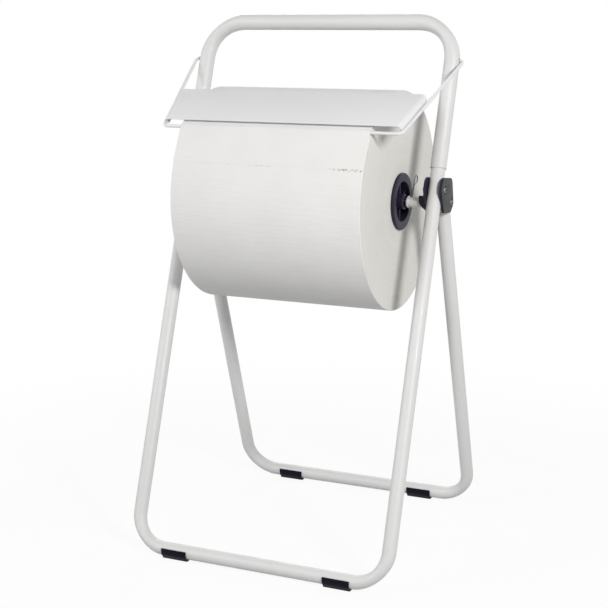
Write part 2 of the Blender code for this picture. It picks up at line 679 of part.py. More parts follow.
def flange(label, side, roll_axis):
    """A plug for the end of the core: rim, tapered spigot, web, hub and radial ribs."""
    rim = FLANGE_DIAMETER / 2
    spigot = CORE_DIAMETER / 2 - CORE_WALL - GAP
    tip = spigot * FLANGE_TAPER_SHARE
    mouth = tip - FLANGE_WALL
    hub = HUB_DIAMETER / 2
    bore = axle_radius + HUB_BORE_FIT
    face = FLANGE_THICKNESS
    web_out = face - FLANGE_WEB_INSET
    web_in = web_out - FLANGE_WEB
    edge = FLANGE_EDGE_RADIUS
    rounding = [(face - edge * (1 - sin(angle)), rim - edge * (1 - cos(angle)))
                for angle in (pi / 2 * k / FLANGE_EDGE_STEPS for k in range(FLANGE_EDGE_STEPS + 1))]
    profile = [(hub_reach, bore), (hub_reach, hub - EDGE_BEVEL), (hub_reach - EDGE_BEVEL, hub),
               (web_out, hub), (web_out, mouth),
               (face - FLANGE_MOUTH_BEVEL, mouth), (face, mouth + FLANGE_MOUTH_BEVEL)]
    profile += rounding[::-1] + [(GAP, rim), (GAP, spigot), (-FLANGE_DEPTH, tip)]
    profile += [(-FLANGE_DEPTH, mouth), (web_in, mouth), (web_in, hub),
                (web_in - HUB_TAIL, hub - EDGE_BEVEL), (web_in - HUB_TAIL, bore)]
    mesh = revolve([(side * along, radius) for along, radius in profile], ROUND_STEPS)
    end = ROLL_OFFSET + side * ROLL_WIDTH / 2
    piece = place("core_flange_" + label, mesh, BLACK_PLASTIC, roll_axis, (end, 0, 0))
    ribs = bmesh.new()
    rib_out = face - RIB_INSET
    root = hub - EDGE_BEVEL
    crest = tip - FLANGE_WALL / 2
    low = side * (web_out - FLANGE_WEB / 2)
    high = side * rib_out
    for index in range(RIB_COUNT):
        rib = bmesh.ops.create_cube(ribs, size=1)["verts"]
        stretch = Matrix.Diagonal((abs(high - low), RIB_THICKNESS, crest - root, 1))
        shift = Matrix.Translation(((high + low) / 2, 0, (crest + root) / 2))
        turn = Matrix.Rotation(2 * pi * index / RIB_COUNT, 4, "X")
        bmesh.ops.transform(ribs, matrix=turn @ shift @ stretch, verts=rib)
    rib_mesh = bpy.data.meshes.new("ribs_" + label)
    ribs.to_mesh(rib_mesh)
    ribs.free()
    join(piece, "ribs_" + label, rib_mesh, (0, 0, 0), (0, 0, 0))


def wound_roll(roll_axis):
    """The cardboard core and the paper wound on it."""
    half = ROLL_WIDTH / 2
    core_out = CORE_DIAMETER / 2
    core_in = core_out - CORE_WALL
    core = [(-half, core_in), (half, core_in), (half, core_out), (-half, core_out)]
    place("cardboard_core", revolve(core, ROUND_STEPS), CARDBOARD, roll_axis, (ROLL_OFFSET, 0, 0))
    bore = core_out + GAP
    soft = ROLL_EDGE_RADIUS
    paper = [(-half, bore), (half, bore), (half, roll_radius - soft), (half - soft * (1 - sin(pi / 4)),
             roll_radius - soft * (1 - cos(pi / 4))), (half - soft, roll_radius)]
    paper += [(-along, radius) for along, radius in reversed(paper[2:])]
    place("paper_roll", revolve(paper, ROLL_STEPS), PAPER, roll_axis, (ROLL_OFFSET, 0, 0))


def clip_x(side):
    """Where a spring clip passes through the axle, just outside the collar."""
    hub_face = ROLL_OFFSET + side * (ROLL_WIDTH / 2 + hub_reach)
    return hub_face + side * (2 * GAP + COLLAR_LENGTH + CLIP_WIRE_DIAMETER / 2)


def axle(axle_axis):
    """The axle tube, its end plugs, and the collars that the flanges run against."""
    half = leg_x - inner_cheek_face - AXLE_END_PLAY
    tube_half = half - AXLE_CAP_THICKNESS
    inner = axle_radius - AXLE_WALL
    profile = [(-tube_half, inner), (tube_half, inner), (tube_half, axle_radius), (-tube_half, axle_radius)]
    rod = place("axle_tube", revolve(profile, ROUND_STEPS // 2), WHITE_COAT, axle_axis)
    reach = axle_radius + CUT_OVERRUN
    hole = prism(CLIP_WIRE_DIAMETER / 2 + GAP, CLIP_SIDES, -reach, reach)
    lean = turned_to((0, sin(CLIP_LEAN), cos(CLIP_LEAN)))
    cut(rod, [(hole, Vector((clip_x(side), 0, 0)), lean) for side in (-1, 1)])
    cap = AXLE_CAP_THICKNESS
    bore = inner - GAP
    plug = [(cap, 0), (cap, axle_radius - EDGE_BEVEL), (cap - EDGE_BEVEL, axle_radius), (GAP, axle_radius),
            (GAP, bore), (-AXLE_CAP_DEPTH, bore - EDGE_BEVEL), (-AXLE_CAP_DEPTH, 0)]
    collar_in = axle_radius + COLLAR_BORE_FIT
    collar_out = collar_in + COLLAR_WALL
    for side, label in ((-1, "left"), (1, "right")):
        mesh = revolve([(side * along, radius) for along, radius in plug], ROUND_STEPS // 2)
        place("axle_plug_" + label, mesh, BLACK_PLASTIC, axle_axis, (side * tube_half, 0, 0))
        start = ROLL_OFFSET + side * (ROLL_WIDTH / 2 + hub_reach + GAP)
        length = side * COLLAR_LENGTH
        collar = [(0, collar_in), (length, collar_in), (length, collar_out - EDGE_BEVEL),
                  (length - side * EDGE_BEVEL, collar_out), (0, collar_out)]
        place("collar_" + label, revolve(collar, ROUND_STEPS // 2), ZINC, axle_axis, (start, 0, 0))


def spring_clips(axle_axis):
    """Spring clips: one straight leg through the axle, a loop, and a waved leg that hugs the axle."""
    wire = CLIP_WIRE_DIAMETER / 2
    hug = axle_radius + wire + GAP
    top = CLIP_LENGTH - CLIP_LOOP_RADIUS - wire
    loop = CLIP_LOOP_RADIUS
    path = [Vector((0, 0, -axle_radius - CLIP_TAIL)), Vector((0, 0, top))]
    for step in range(1, CLIP_LOOP_STEPS + 1):
        angle = pi - CLIP_LOOP_TURN * step / CLIP_LOOP_STEPS
        path.append(Vector((0, loop + loop * cos(angle), top + loop * sin(angle))))
    path.append(Vector((0, CLIP_PINCH + wire, top - 2 * loop)))
    for step in range(CLIP_HUG_STEPS + 1):
        angle = CLIP_HUG_START + (CLIP_HUG_END - CLIP_HUG_START) * step / CLIP_HUG_STEPS
        path.append(Vector((0, hug * cos(angle), hug * sin(angle))))
    lift = hug + 2 * wire
    path.append(Vector((0, lift, -hug)))
    for side, label in ((-1, "left"), (1, "right")):
        mesh = sweep(path, wire, CLIP_SIDES)
        place("spring_clip_" + label, mesh, ZINC, axle_axis, (clip_x(side), 0, 0), (-CLIP_LEAN, 0, 0))


def bail_frame():
    """Where the tear bar hangs, and how far it swings down before its front wire meets the roll."""
    hook = front_point(0, hook_station)
    centre = front_point(0, axle_station, AXLE_SETBACK)
    rest_radius = roll_radius + bail_radius + GAP
    span = hypot(hook.y - centre.y, hook.z - centre.z)
    along = (rest_radius ** 2 - BAIL_REACH ** 2 + span ** 2) / (2 * span)
    across = sqrt(rest_radius ** 2 - along ** 2)
    unit = ((hook.y - centre.y) / span, (hook.z - centre.z) / span)
    wire_y = centre.y + along * unit[0] - across * unit[1]
    wire_z = centre.z + along * unit[1] + across * unit[0]
    return hook, atan2(hook.z - wire_z, hook.y - wire_y)


def bail_edge(side, inset):
    """Where an arm of the bail runs, in X, at a distance behind the front wire."""
    share = inset / BAIL_REACH
    return side * (bail_front_x + (hook_x - bail_front_x) * share) + BAIL_RACK * (1 - share)


def tear_bar_wire(bail):
    """The bail: a front wire, two straight arms and ends that turn into the handle tube."""
    tip_x = leg_x + handle_radius - BAIL_HOOK_TUCK
    right = [Vector((tip_x, 0, 0)), Vector((hook_x, 0, 0)), Vector((bail_edge(1, 0), -BAIL_REACH, 0))]
    left = [Vector((bail_edge(-1, 0), -BAIL_REACH, 0)), Vector((-hook_x, 0, 0)), Vector((-tip_x, 0, 0))]
    radii = (BAIL_HOOK_RADIUS, BAIL_CORNER_RADIUS, BAIL_CORNER_RADIUS, BAIL_HOOK_RADIUS)
    path = fillet_path(right + left, radii, BAIL_BEND_STEPS)
    place("tear_bar_wire", sweep(path, bail_radius, BAIL_SIDES), WHITE_COAT, bail)


def plate_section(inset, rise):
    """One cross-section of the plate, as (X, Z) points along its top skin and back along its under skin."""
    foot = bail_radius + GAP
    drop = min(PLATE_SIDE_RADIUS, rise - foot - PLATE_GAUGE)
    outer = []
    inner = []
    for side in (-1, 1):
        edge = bail_edge(side, inset) - side * PLATE_SIDE_INSET
        for skin, gauge in ((outer, 0), (inner, PLATE_GAUGE)):
            width = PLATE_SIDE_RADIUS - gauge
            height = drop - gauge
            shoulder = edge - side * PLATE_SIDE_RADIUS
            bend = [(shoulder + side * width * sin(angle), rise - drop + height * cos(angle))
                    for angle in (pi / 2 * k / PLATE_BEND_STEPS for k in range(PLATE_BEND_STEPS + 1))]
            bend.append((edge - side * gauge, foot))
            skin.extend(bend if side > 0 else reversed(bend))
    return outer + inner[::-1]


def plate_rear_rise(bail_tilt, hook):
    """How high the plate's rear edge stands, for its underside to clear the roll and the sheet on it."""
    centre = front_point(0, axle_station, AXLE_SETBACK) - Vector((0, hook.y, hook.z))
    local = Matrix.Rotation(-bail_tilt, 3, "X") @ centre
    away = Vector((local.y + BAIL_REACH - PLATE_FRONT_INSET, local.z + PLATE_GAUGE - PLATE_FRONT_RISE))
    clear = roll_radius + PLATE_ROLL_CLEARANCE
    slope = atan2(away.y, away.x) + asin(min(1, clear / away.length))
    return PLATE_FRONT_RISE + (PLATE_REAR_INSET - PLATE_FRONT_INSET) * tan(slope)


def tear_plate(bail, bail_tilt, hook):
    """The sheet-metal plate, with sides rolled down on to the arms of the wire."""
    rear_rise = plate_rear_rise(bail_tilt, hook)
    print("plate rear rise", round(rear_rise, 5))
    shape = bmesh.new()
    ends = []
    for inset, rise in ((PLATE_FRONT_INSET, PLATE_FRONT_RISE), (PLATE_REAR_INSET, rear_rise)):
        ends.append([shape.verts.new((x, inset - BAIL_REACH, z)) for x, z in plate_section(inset, rise)])
    near, far = ends
    count = len(near)
    for k in range(count):
        shape.faces.new((near[k], near[(k + 1) % count], far[(k + 1) % count], far[k]))
    half = count // 2
    for ring in ends:
        for k in range(half - 1):
            shape.faces.new((ring[k], ring[k + 1], ring[count - 2 - k], ring[count - 1 - k]))
    place("tear_plate", finish(shape), WHITE_COAT, bail)


def sheet_profile(bail_tilt, hook):
    """The path of the free sheet in (Y, Z): off the roll, over the wire and back down to the roll."""
    centre = front_point(0, axle_station, AXLE_SETBACK)
    wire = Vector((hook.y - BAIL_REACH * cos(bail_tilt), hook.z - BAIL_REACH * sin(bail_tilt)))
    middle = Vector((centre.y, centre.z))
    lay = roll_radius + GAP + SHEET_THICKNESS / 2
    over = bail_radius + GAP + SHEET_THICKNESS / 2
    reach = (wire - middle).length
    wire_angle = atan2(wire.y - middle.y, wire.x - middle.x)
    spread = acos((lay - over) / reach)
    lift_angle = wire_angle - spread
    drop_angle = wire_angle + spread
    start_angle = lift_angle - (SHEET_START - lay * spread) / lay
    end_angle = wire_angle + SHEET_DROP / lay
    points = []
    for step in range(SHEET_STEPS + 1):
        angle = start_angle + (lift_angle - start_angle) * step / SHEET_STEPS
        points.append(middle + lay * Vector((cos(angle), sin(angle))))
    for step in range(SHEET_STEPS + 1):
        angle = lift_angle + (drop_angle - lift_angle) * step / SHEET_STEPS
        points.append(wire + over * Vector((cos(angle), sin(angle))))
    if end_angle > drop_angle:
        for step in range(SHEET_STEPS // 2 + 1):
            angle = drop_angle + (end_angle - drop_angle) * step / (SHEET_STEPS // 2)
            points.append(middle + lay * Vector((cos(angle), sin(angle))))
    return points


def free_sheet(bail, bail_tilt, hook):
    """The loose end of the paper, threaded between the plate and the wire."""
    points = sheet_profile(bail_tilt, hook)
    half = ROLL_WIDTH / 2
    shape = bmesh.new()
    rings = []
    last = len(points) - 1
    for index, point in enumerate(points):
        run = (points[min(index + 1, last)] - points[max(index - 1, 0)]).normalized()
        out = Vector((run.y, -run.x)) * SHEET_THICKNESS / 2
        slant = run * SHEET_SLANT if index == last else run * 0
        ring = []
        for x, place_at, extra in ((-half, point + out, -slant), (half, point + out, slant),
                                   (half, point - out, slant), (-half, point - out, -slant)):
            spot = place_at + extra / 2
            local = Matrix.Rotation(-bail_tilt, 3, "X") @ Vector((0, spot.x - hook.y, spot.y - hook.z))
            ring.append(shape.verts.new((ROLL_OFFSET + x, local.y, local.z)))
        rings.append(ring)
    for ring, following in zip(rings, rings[1:]):
        for k in range(4):
            shape.faces.new((ring[k], ring[(k + 1) % 4], following[(k + 1) % 4], following[k]))
    shape.faces.new(rings[0])
    shape.faces.new(rings[-1])
    place("free_sheet", finish(shape), PAPER, bail)


def build():
    clear_scene()
    front = empty("front_frame_axis", front_bar, -FRONT_LEAN)
    pivot = front_point(0, PIVOT_STATION, PIVOT_SETBACK)
    rear = empty("rear_fold_axis", pivot, rear_lean)
    axle_centre = front_point(0, axle_station, AXLE_SETBACK)
    axle_axis = empty("axle_axis", axle_centre)
    roll_axis = empty("roll_spin_axis", axle_centre)
    hook, bail_tilt = bail_frame()
    bail = empty("tear_bar_axis", hook, bail_tilt)
    lower_frame(front)
    handle_frame(front)
    sleeve_screws(front)
    brackets(front)
    rear_frame(rear)
    rear_plugs(rear)
    feet(front, rear)
    flange("left", -1, roll_axis)
    flange("right", 1, roll_axis)
    wound_roll(roll_axis)
    axle(axle_axis)
    spring_clips(axle_axis)
    tear_bar_wire(bail)
    tear_plate(bail, bail_tilt, hook)
    free_sheet(bail, bail_tilt, hook)


build()
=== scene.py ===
import json
from math import acos, atan2, cos, hypot, pi, radians, sin, sqrt, tan

import bmesh
import bpy
from mathutils import Matrix, Vector


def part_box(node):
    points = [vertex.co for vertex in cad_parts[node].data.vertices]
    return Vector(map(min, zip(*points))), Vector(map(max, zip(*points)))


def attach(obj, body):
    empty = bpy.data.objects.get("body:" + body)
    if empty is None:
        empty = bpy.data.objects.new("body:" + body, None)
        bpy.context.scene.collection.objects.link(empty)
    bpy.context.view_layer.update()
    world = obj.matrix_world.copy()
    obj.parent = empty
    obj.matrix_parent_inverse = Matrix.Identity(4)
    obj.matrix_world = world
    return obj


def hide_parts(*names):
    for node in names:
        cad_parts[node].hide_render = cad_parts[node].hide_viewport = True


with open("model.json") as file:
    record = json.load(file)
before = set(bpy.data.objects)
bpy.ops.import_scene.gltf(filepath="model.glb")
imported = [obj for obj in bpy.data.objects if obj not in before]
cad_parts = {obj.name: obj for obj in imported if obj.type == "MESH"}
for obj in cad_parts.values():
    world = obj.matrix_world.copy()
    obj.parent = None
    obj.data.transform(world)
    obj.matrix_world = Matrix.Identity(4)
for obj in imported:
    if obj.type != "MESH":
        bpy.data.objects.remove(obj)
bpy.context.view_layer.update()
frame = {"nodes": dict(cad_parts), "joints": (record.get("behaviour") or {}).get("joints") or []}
print("frame loaded:", len(frame["nodes"]), "nodes")

jointAt = {joint["name"]: Vector(joint["pos_m"]) for joint in frame["joints"]}
pivot = jointAt["rear_fold"]
axle = jointAt["roll_spin"]
hook = jointAt["tear_bar_lift"]
leftRight = ((-1, "left"), (1, "right"))

tube = {
    "radius": 0.011,
    "wall": 0.0015,
    "handleRadius": 0.0125,
    "handleWall": 0.00115,
    "floorBend": 0.053,
    "handleBend": 0.063,
    "flatten": 0.16,
    "widen": 0.05,
    "bendSteps": 28,
    "sides": 56,
    "rimRound": 0.00045,
    "rimSegments": 2,
    "rimAngle": radians(60),
    "sleeveOverlap": 0.060,
    "hookHole": 0.0041,
    "holeSides": 32,
}

# Places of the two frames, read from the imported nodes
lowFront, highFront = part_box("front_lower_frame")
lowRear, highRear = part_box("rear_frame")
lowHandle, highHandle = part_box("handle_frame")
legX = highFront.x - tube["radius"]
frontBar = Vector((0, lowFront.y + tube["radius"], lowFront.z + tube["radius"]))
rearBar = Vector((0, highRear.y - tube["radius"], lowRear.z + tube["radius"]))
lean = atan2(hook.y - frontBar.y, hook.z - frontBar.z)
rearLean = atan2(rearBar.y - pivot.y, pivot.z - rearBar.z)
rearReach = hypot(rearBar.y - pivot.y, pivot.z - rearBar.z)
sleeveStart = (lowHandle.z - frontBar.z + tube["handleRadius"] * sin(lean)) / cos(lean)
handleReach = (highHandle.z - tube["handleRadius"] - frontBar.z) / cos(lean)
rearTop = (highRear.z - pivot.z - tube["radius"] * sin(rearLean)) / cos(rearLean)
frontUp = Vector((0, sin(lean), cos(lean)))
frontBack = Vector((0, cos(lean), -sin(lean)))
rearUp = Vector((0, -sin(rearLean), cos(rearLean)))
rearBack = Vector((0, cos(rearLean), sin(rearLean)))


def frontPoint(x, station, setback=0):
    return frontBar + Vector((x, 0, 0)) + frontUp * station + frontBack * setback


def rearPoint(x, station):
    return pivot + Vector((x, 0, 0)) + rearUp * station


# Values in even steps, both ends included
def spaced(first, last, steps):
    return [first + (last - first) * k / steps for k in range(steps + 1)]


def fullTurn(steps):
    return [2 * pi * k / steps for k in range(steps)]


# Mesh helpers
making = {
    "mergeDistance": 1e-7,
    "creaseAngle": radians(32),
    "bevelAngle": radians(40),
}


def creased(mesh):
    mesh.shade_smooth()
    mesh.set_sharp_from_angle(angle=making["creaseAngle"])
    return mesh


def finishMesh(shape):
    bmesh.ops.remove_doubles(shape, verts=shape.verts, dist=making["mergeDistance"])
    bmesh.ops.recalc_face_normals(shape, faces=shape.faces)
    if shape.calc_volume(signed=True) < 0:
        bmesh.ops.reverse_faces(shape, faces=shape.faces)
    mesh = bpy.data.meshes.new("shape")
    shape.to_mesh(mesh)
    shape.free()
    return creased(mesh)


def linked(name, data):
    data.name = name
    piece = bpy.data.objects.new(name, data)
    bpy.context.scene.collection.objects.link(piece)
    return piece


def baked(piece):
    graph = bpy.context.evaluated_depsgraph_get()
    mesh = bpy.data.meshes.new_from_object(piece.evaluated_get(graph))
    piece.modifiers.clear()
    piece.data = creased(mesh)
    return piece


def softened(piece, width, segments=3, angle=making["bevelAngle"]):
    bevel = piece.modifiers.new("edges", "BEVEL")
    bevel.width = width
    bevel.segments = segments
    bevel.limit_method = "ANGLE"
    bevel.angle_limit = angle
    return baked(piece)


def boolean(piece, mesh, operation="DIFFERENCE"):
    tool = linked("tool", mesh)
    change = piece.modifiers.new("boolean", "BOOLEAN")
    change.operation = operation
    change.solver = "EXACT"
    change.object = tool
    baked(piece)
    bpy.data.objects.remove(tool)


# Faces between two rings of points
def bridge(shape, first, second, closed=True):
    count = len(first)
    for k in range(count if closed else count - 1):
        shape.faces.new((first[k], first[(k + 1) % count], second[(k + 1) % count], second[k]))


# A closed profile of (along X, radius) points turned about the X axis through a centre
def turned(profile, sides, centre=Vector((0, 0, 0))):
    shape = bmesh.new()
    rings = [[shape.verts.new(centre + Vector((along, radius * cos(a), radius * sin(a))))
              for a in (fullTurn(sides) if radius else [0])] for along, radius in profile]
    for ring, following in zip(rings, rings[1:] + rings[:1]):
        for k in range(sides):
            corners = [ring[k % len(ring)], ring[(k + 1) % len(ring)],
                       following[(k + 1) % len(following)], following[k % len(following)]]
            corners = [corner for n, corner in enumerate(corners) if corner not in corners[:n]]
            if len(corners) > 2:
                shape.faces.new(corners)
    return finishMesh(shape)


def rodProfile(start, end, radius):
    return [(start, 0), (start, radius), (end, radius), (end, 0)]


def pipeProfile(start, end, inner, outer):
    return [(start, inner), (end, inner), (end, outer), (start, outer)]


# A round bar along a path; with a wall it is an open tube with both skins
def swept(path, radius, sides, normal=None, squash=None, wall=0):
    shape = bmesh.new()
    last = len(path) - 1
    start = normal if normal else (path[1] - path[0]).normalized().orthogonal().normalized()
    skins = []
    for skinRadius in ([radius, radius - wall] if wall else [radius]):
        rings = []
        side = start
        for index, point in enumerate(path):
            along = (path[min(index + 1, last)] - path[max(index - 1, 0)]).normalized()
            side = (side - along * side.dot(along)).normalized()
            other = along.cross(side)
            flat, wide = squash[index] if squash else (1, 1)
            rings.append([shape.verts.new(point + side * skinRadius * wide * cos(a)
                                          + other * skinRadius * flat * sin(a)) for a in fullTurn(sides)])
        for ring, following in zip(rings, rings[1:]):
            bridge(shape, ring, following)
        skins.append(rings)
    for end in (0, -1):
        if wall:
            bridge(shape, skins[0][end], skins[1][end])
        else:
            shape.faces.new(skins[0][end])
    return finishMesh(shape)


# A polyline whose inner corners become arcs
def filleted(corners, radii, steps):
    path = [corners[0]]
    for before, corner, after, radius in zip(corners, corners[1:], corners[2:], radii):
        back = (before - corner).normalized()
        ahead = (after - corner).normalized()
        half = back.angle(ahead) / 2
        radius = min(radius, min((before - corner).length, (after - corner).length) * tan(half) / 2)
        centre = corner + (back + ahead).normalized() * radius / sin(half)
        fromStart = corner + back * radius / tan(half) - centre
        fromEnd = corner + ahead * radius / tan(half) - centre
        turn = fromStart.angle(fromEnd)
        path += [centre + (fromStart * sin((1 - share) * turn) + fromEnd * sin(share * turn)) / sin(turn)
                 for share in spaced(0, 1, steps)]
    path.append(corners[-1])
    return path


def roundedOutline(corners, radii, steps):
    corners = [Vector((a, b, 0)) for a, b in corners]
    points = []
    for index, radius in enumerate(radii):
        three = [corners[index - 1], corners[index], corners[(index + 1) % len(corners)]]
        points += filleted(three, [radius], steps)[1:-1]
    return [(point.x, point.y) for point in points]


# A plate from an outline of (a, b) points, between two places along the axis that toWorld takes first
def extruded(outline, low, high, toWorld):
    shape = bmesh.new()
    ends = [[shape.verts.new(toWorld(place, b, a)) for a, b in outline] for place in (low, high)]
    bridge(shape, *ends)
    for ring in ends:
        shape.faces.new(ring)
    return finishMesh(shape)


# Node helpers, for materials and Geometry Nodes alike
def newTree(name, kind, inputs, outputs, outputType="Float"):
    tree = bpy.data.node_groups.new(name, kind)
    for label, socketType in inputs:
        tree.interface.new_socket(name=label, in_out="INPUT", socket_type="NodeSocket" + socketType)
    for label in outputs:
        tree.interface.new_socket(name=label, in_out="OUTPUT", socket_type="NodeSocket" + outputType)
    return tree, tree.nodes.new("NodeGroupInput").outputs, tree.nodes.new("NodeGroupOutput").inputs


def fill(tree, socket, value):
    if isinstance(value, bpy.types.NodeSocket):
        tree.links.new(value, socket)
    else:
        socket.default_value = value


def addNode(tree, kind, inputs=(), **settings):
    node = tree.nodes.new(kind)
    for label, value in settings.items():
        setattr(node, label, value)
    for key, value in dict(inputs).items():
        fill(tree, node.inputs[key], value)
    return node


def mathNode(tree, operation, first, second=0, clamp=False):
    node = addNode(tree, "ShaderNodeMath", {0: first, 1: second}, operation=operation, use_clamp=clamp)
    return node.outputs[0]


def product(tree, first, second):
    return mathNode(tree, "MULTIPLY", first, second)


# Geometry Nodes
def closeTree(tree, start, end, geometry):
    real = addNode(tree, "GeometryNodeRealizeInstances", {0: geometry}).outputs[0]
    paint = addNode(tree, "GeometryNodeSetMaterial", {"Geometry": real, "Material": start["Finish"]})
    tree.links.new(paint.outputs[0], end["Geometry"])
    return tree


def grown(name, tree, values):
    piece = linked(name, bpy.data.meshes.new(name + "Seed"))
    modifier = piece.modifiers.new("nodes", "NODES")
    modifier.node_group = tree
    for item in tree.interface.items_tree:
        if item.item_type == "SOCKET" and item.in_out == "INPUT":
            modifier[item.identifier] = values[item.name]
    return baked(piece)


# Material helpers
effects = {
    "noiseLow": 0.3,
    "noiseHigh": 0.7,
    "grainDetail": 3,
    "broadDetail": 4,
    "markDetail": 8,
    "markDistortion": 0.8,
    "markLevel": 0.78,
    "coverShare": 0.3,
    "markEdge": 9,
    "patchDetail": 2,
    "patchScale": 0.17,
    "patchLevel": 0.45,
    "patchEdge": 5,
    "ringDetail": 2,
    "bandDetail": 3,
    "bandShare": 0.07,
    "endFaceLevel": 0.8,
    "endFaceEdge": 8,
    "litFaceLevel": 0.75,
    "litFaceEdge": 6,
}


def noise(tree, vector, scale, detail, distortion=0):
    return addNode(tree, "ShaderNodeTexNoise", {
        "Vector": vector, "Scale": scale, "Detail": detail, "Distortion": distortion}).outputs["Fac"]


def mapped(tree, value, *limits):
    inputs = dict(zip(("From Min", "From Max", "To Min", "To Max"), limits))
    return addNode(tree, "ShaderNodeMapRange", {"Value": value, **inputs}).outputs["Result"]


def evened(tree, value):
    return mapped(tree, value, effects["noiseLow"], effects["noiseHigh"], 0, 1)


def threshold(tree, value, level, edge):
    return mathNode(tree, "MULTIPLY", mathNode(tree, "SUBTRACT", value, level), edge, clamp=True)


# 1 on faces that look along X, from an object-space normal
def facingSides(tree, normal, level, edge):
    split = addNode(tree, "ShaderNodeSeparateXYZ", {0: normal})
    return threshold(tree, mathNode(tree, "ABSOLUTE", split.outputs["X"]), level, edge)


def mixed(tree, share, first, second):
    node = addNode(tree, "ShaderNodeMix", {"Factor": share}, data_type="RGBA")
    sockets = [socket for socket in node.inputs if socket.name in ("A", "B") and socket.type == "RGBA"]
    for socket, value in zip(sockets, (first, second)):
        fill(tree, socket, (*value, 1) if isinstance(value, tuple) else value)
    return [socket for socket in node.outputs if socket.type == "RGBA"][0]


# Shared effects, each a node group with its own values in every material
def fineGrainGroup():
    tree, start, end = newTree("fineGrain", "ShaderNodeTree", (
        ("Vector", "Vector"), ("Scale", "Float"), ("Broad Scale", "Float")), ("Grain", "Broad"))
    for label, scale, detail in (("Grain", "Scale", "grainDetail"), ("Broad", "Broad Scale", "broadDetail")):
        grain = noise(tree, start["Vector"], start[scale], effects[detail])
        tree.links.new(evened(tree, grain), end[label])
    return tree


def marksGroup():
    tree, start, end = newTree("handlingMarks", "ShaderNodeTree", (
        ("Vector", "Vector"), ("Scale", "Float"), ("Cover", "Float")), ("Mask",))
    fine = noise(tree, start["Vector"], start["Scale"], effects["markDetail"], effects["markDistortion"])
    patchScale = product(tree, start["Scale"], effects["patchScale"])
    patch = noise(tree, start["Vector"], patchScale, effects["patchDetail"])
    cover = product(tree, start["Cover"], effects["coverShare"])
    level = mathNode(tree, "SUBTRACT", effects["markLevel"], cover)
    sharp = threshold(tree, fine, level, effects["markEdge"])
    area = threshold(tree, patch, effects["patchLevel"], effects["patchEdge"])
    tree.links.new(product(tree, sharp, area), end["Mask"])
    return tree


# Rings about the roll's axis, and a mask of the faces that show them
def windingGroup():
    tree, start, end = newTree("windingRings", "ShaderNodeTree", (
        ("Vector", "Vector"), ("Normal", "Vector"), ("Pitch", "Float")), ("Rings", "Bands", "End Face"))
    split = addNode(tree, "ShaderNodeSeparateXYZ", {0: start["Vector"]})
    squares = [product(tree, split.outputs[label], split.outputs[label]) for label in "YZ"]
    radius = mathNode(tree, "SQRT", mathNode(tree, "ADD", *squares))
    layer = mathNode(tree, "DIVIDE", radius, start["Pitch"])
    for label, share, detail in (("Rings", 1, "ringDetail"), ("Bands", effects["bandShare"], "bandDetail")):
        place = product(tree, layer, share)
        rings = addNode(tree, "ShaderNodeTexNoise", {"W": place, "Scale": 1, "Detail": effects[detail]},
                        noise_dimensions="1D")
        tree.links.new(evened(tree, rings.outputs["Fac"]), end[label])
    facing = facingSides(tree, start["Normal"], effects["endFaceLevel"], effects["endFaceEdge"])
    tree.links.new(facing, end["End Face"])
    return tree


# Faces that look along X: where the outer cheeks get their painted sheen
def litFaceSheenGroup():
    tree, start, end = newTree("litFaceSheen", "ShaderNodeTree", (("Vector", "Vector"),), ("Mask",))
    facing = facingSides(tree, start["Vector"], effects["litFaceLevel"], effects["litFaceEdge"])
    tree.links.new(facing, end["Mask"])
    return tree


groups = {
    "grain": fineGrainGroup(),
    "marks": marksGroup(),
    "winding": windingGroup(),
    "sides": litFaceSheenGroup(),
}


def placed(tree, groupName, **values):
    node = addNode(tree, "ShaderNodeGroup", node_tree=groups[groupName])
    for label, value in values.items():
        fill(tree, node.inputs[label.replace("_", " ")], value)
    return node.outputs


def surface(name):
    material = bpy.data.materials.new(name)
    material.use_nodes = True
    coords = material.node_tree.nodes.new("ShaderNodeTexCoord").outputs
    return material, material.node_tree, coords["Object"], coords["Normal"]


# Every finish starts with a fine grain: its height, the tone and the roughness
def grained(tree, vector, look):
    grain = placed(tree, "grain", Vector=vector, Scale=look["grainScale"], Broad_Scale=look["broadScale"])
    tone = mixed(tree, grain["Broad"], look["colour"], look["shade"])
    rough = mapped(tree, grain["Grain"], 0, 1, look["roughLow"], look["roughHigh"])
    return grain["Grain"], tone, rough


def marked(tree, vector, look, tone):
    mask = placed(tree, "marks", Vector=vector, Scale=look["markScale"], Cover=look["markCover"])["Mask"]
    return mixed(tree, product(tree, mask, look["markStrength"]), tone, look["markColour"]), mask


def shaded(material, look, tone, rough, height):
    tree = material.node_tree
    relief = {"Height": height, "Strength": look["bump"], "Distance": look["bumpDepth"]}
    inputs = {
        "Base Color": tone,
        "Roughness": rough,
        "Normal": addNode(tree, "ShaderNodeBump", relief).outputs["Normal"],
        "Metallic": look["metallic"],
        "Coat Weight": look["coat"],
        "Specular IOR Level": look["specular"],
    }
    for label, value in inputs.items():
        fill(tree, tree.nodes["Principled BSDF"].inputs[label], value)
    return material


# Powder coat: off-white, a fine orange peel and a few faint handling marks
def powderCoat(name, look):
    material, tree, place, normal = surface(name)
    height, tone, rough = grained(tree, place, look)
    tone, mask = marked(tree, place, look, tone)
    rough = mathNode(tree, "ADD", rough, product(tree, mask, look["markRough"]))
    return shaded(material, look, tone, rough, height)


# Moulded plastic: near black with a spark-eroded texture and a dusty bloom; on the outer cheeks the flat
# faces get a lighter painted sheen
def mouldedPlastic(name, look):
    material, tree, place, normal = surface(name)
    height, tone, rough = grained(tree, place, look)
    if "litFaceColour" in look:
        tone = mixed(tree, placed(tree, "sides", Vector=normal)["Mask"], tone, look["litFaceColour"])
    tone, mask = marked(tree, place, look, tone)
    return shaded(material, look, tone, rough, height)


# Plated steel: bright, with fine drawn streaks along X
def platedSteel(name, look):
    material, tree, place, normal = surface(name)
    stretch = addNode(tree, "ShaderNodeMapping", {"Vector": place, "Scale": look["streak"]})
    height, tone, rough = grained(tree, stretch.outputs["Vector"], look)
    return shaded(material, look, tone, rough, height)


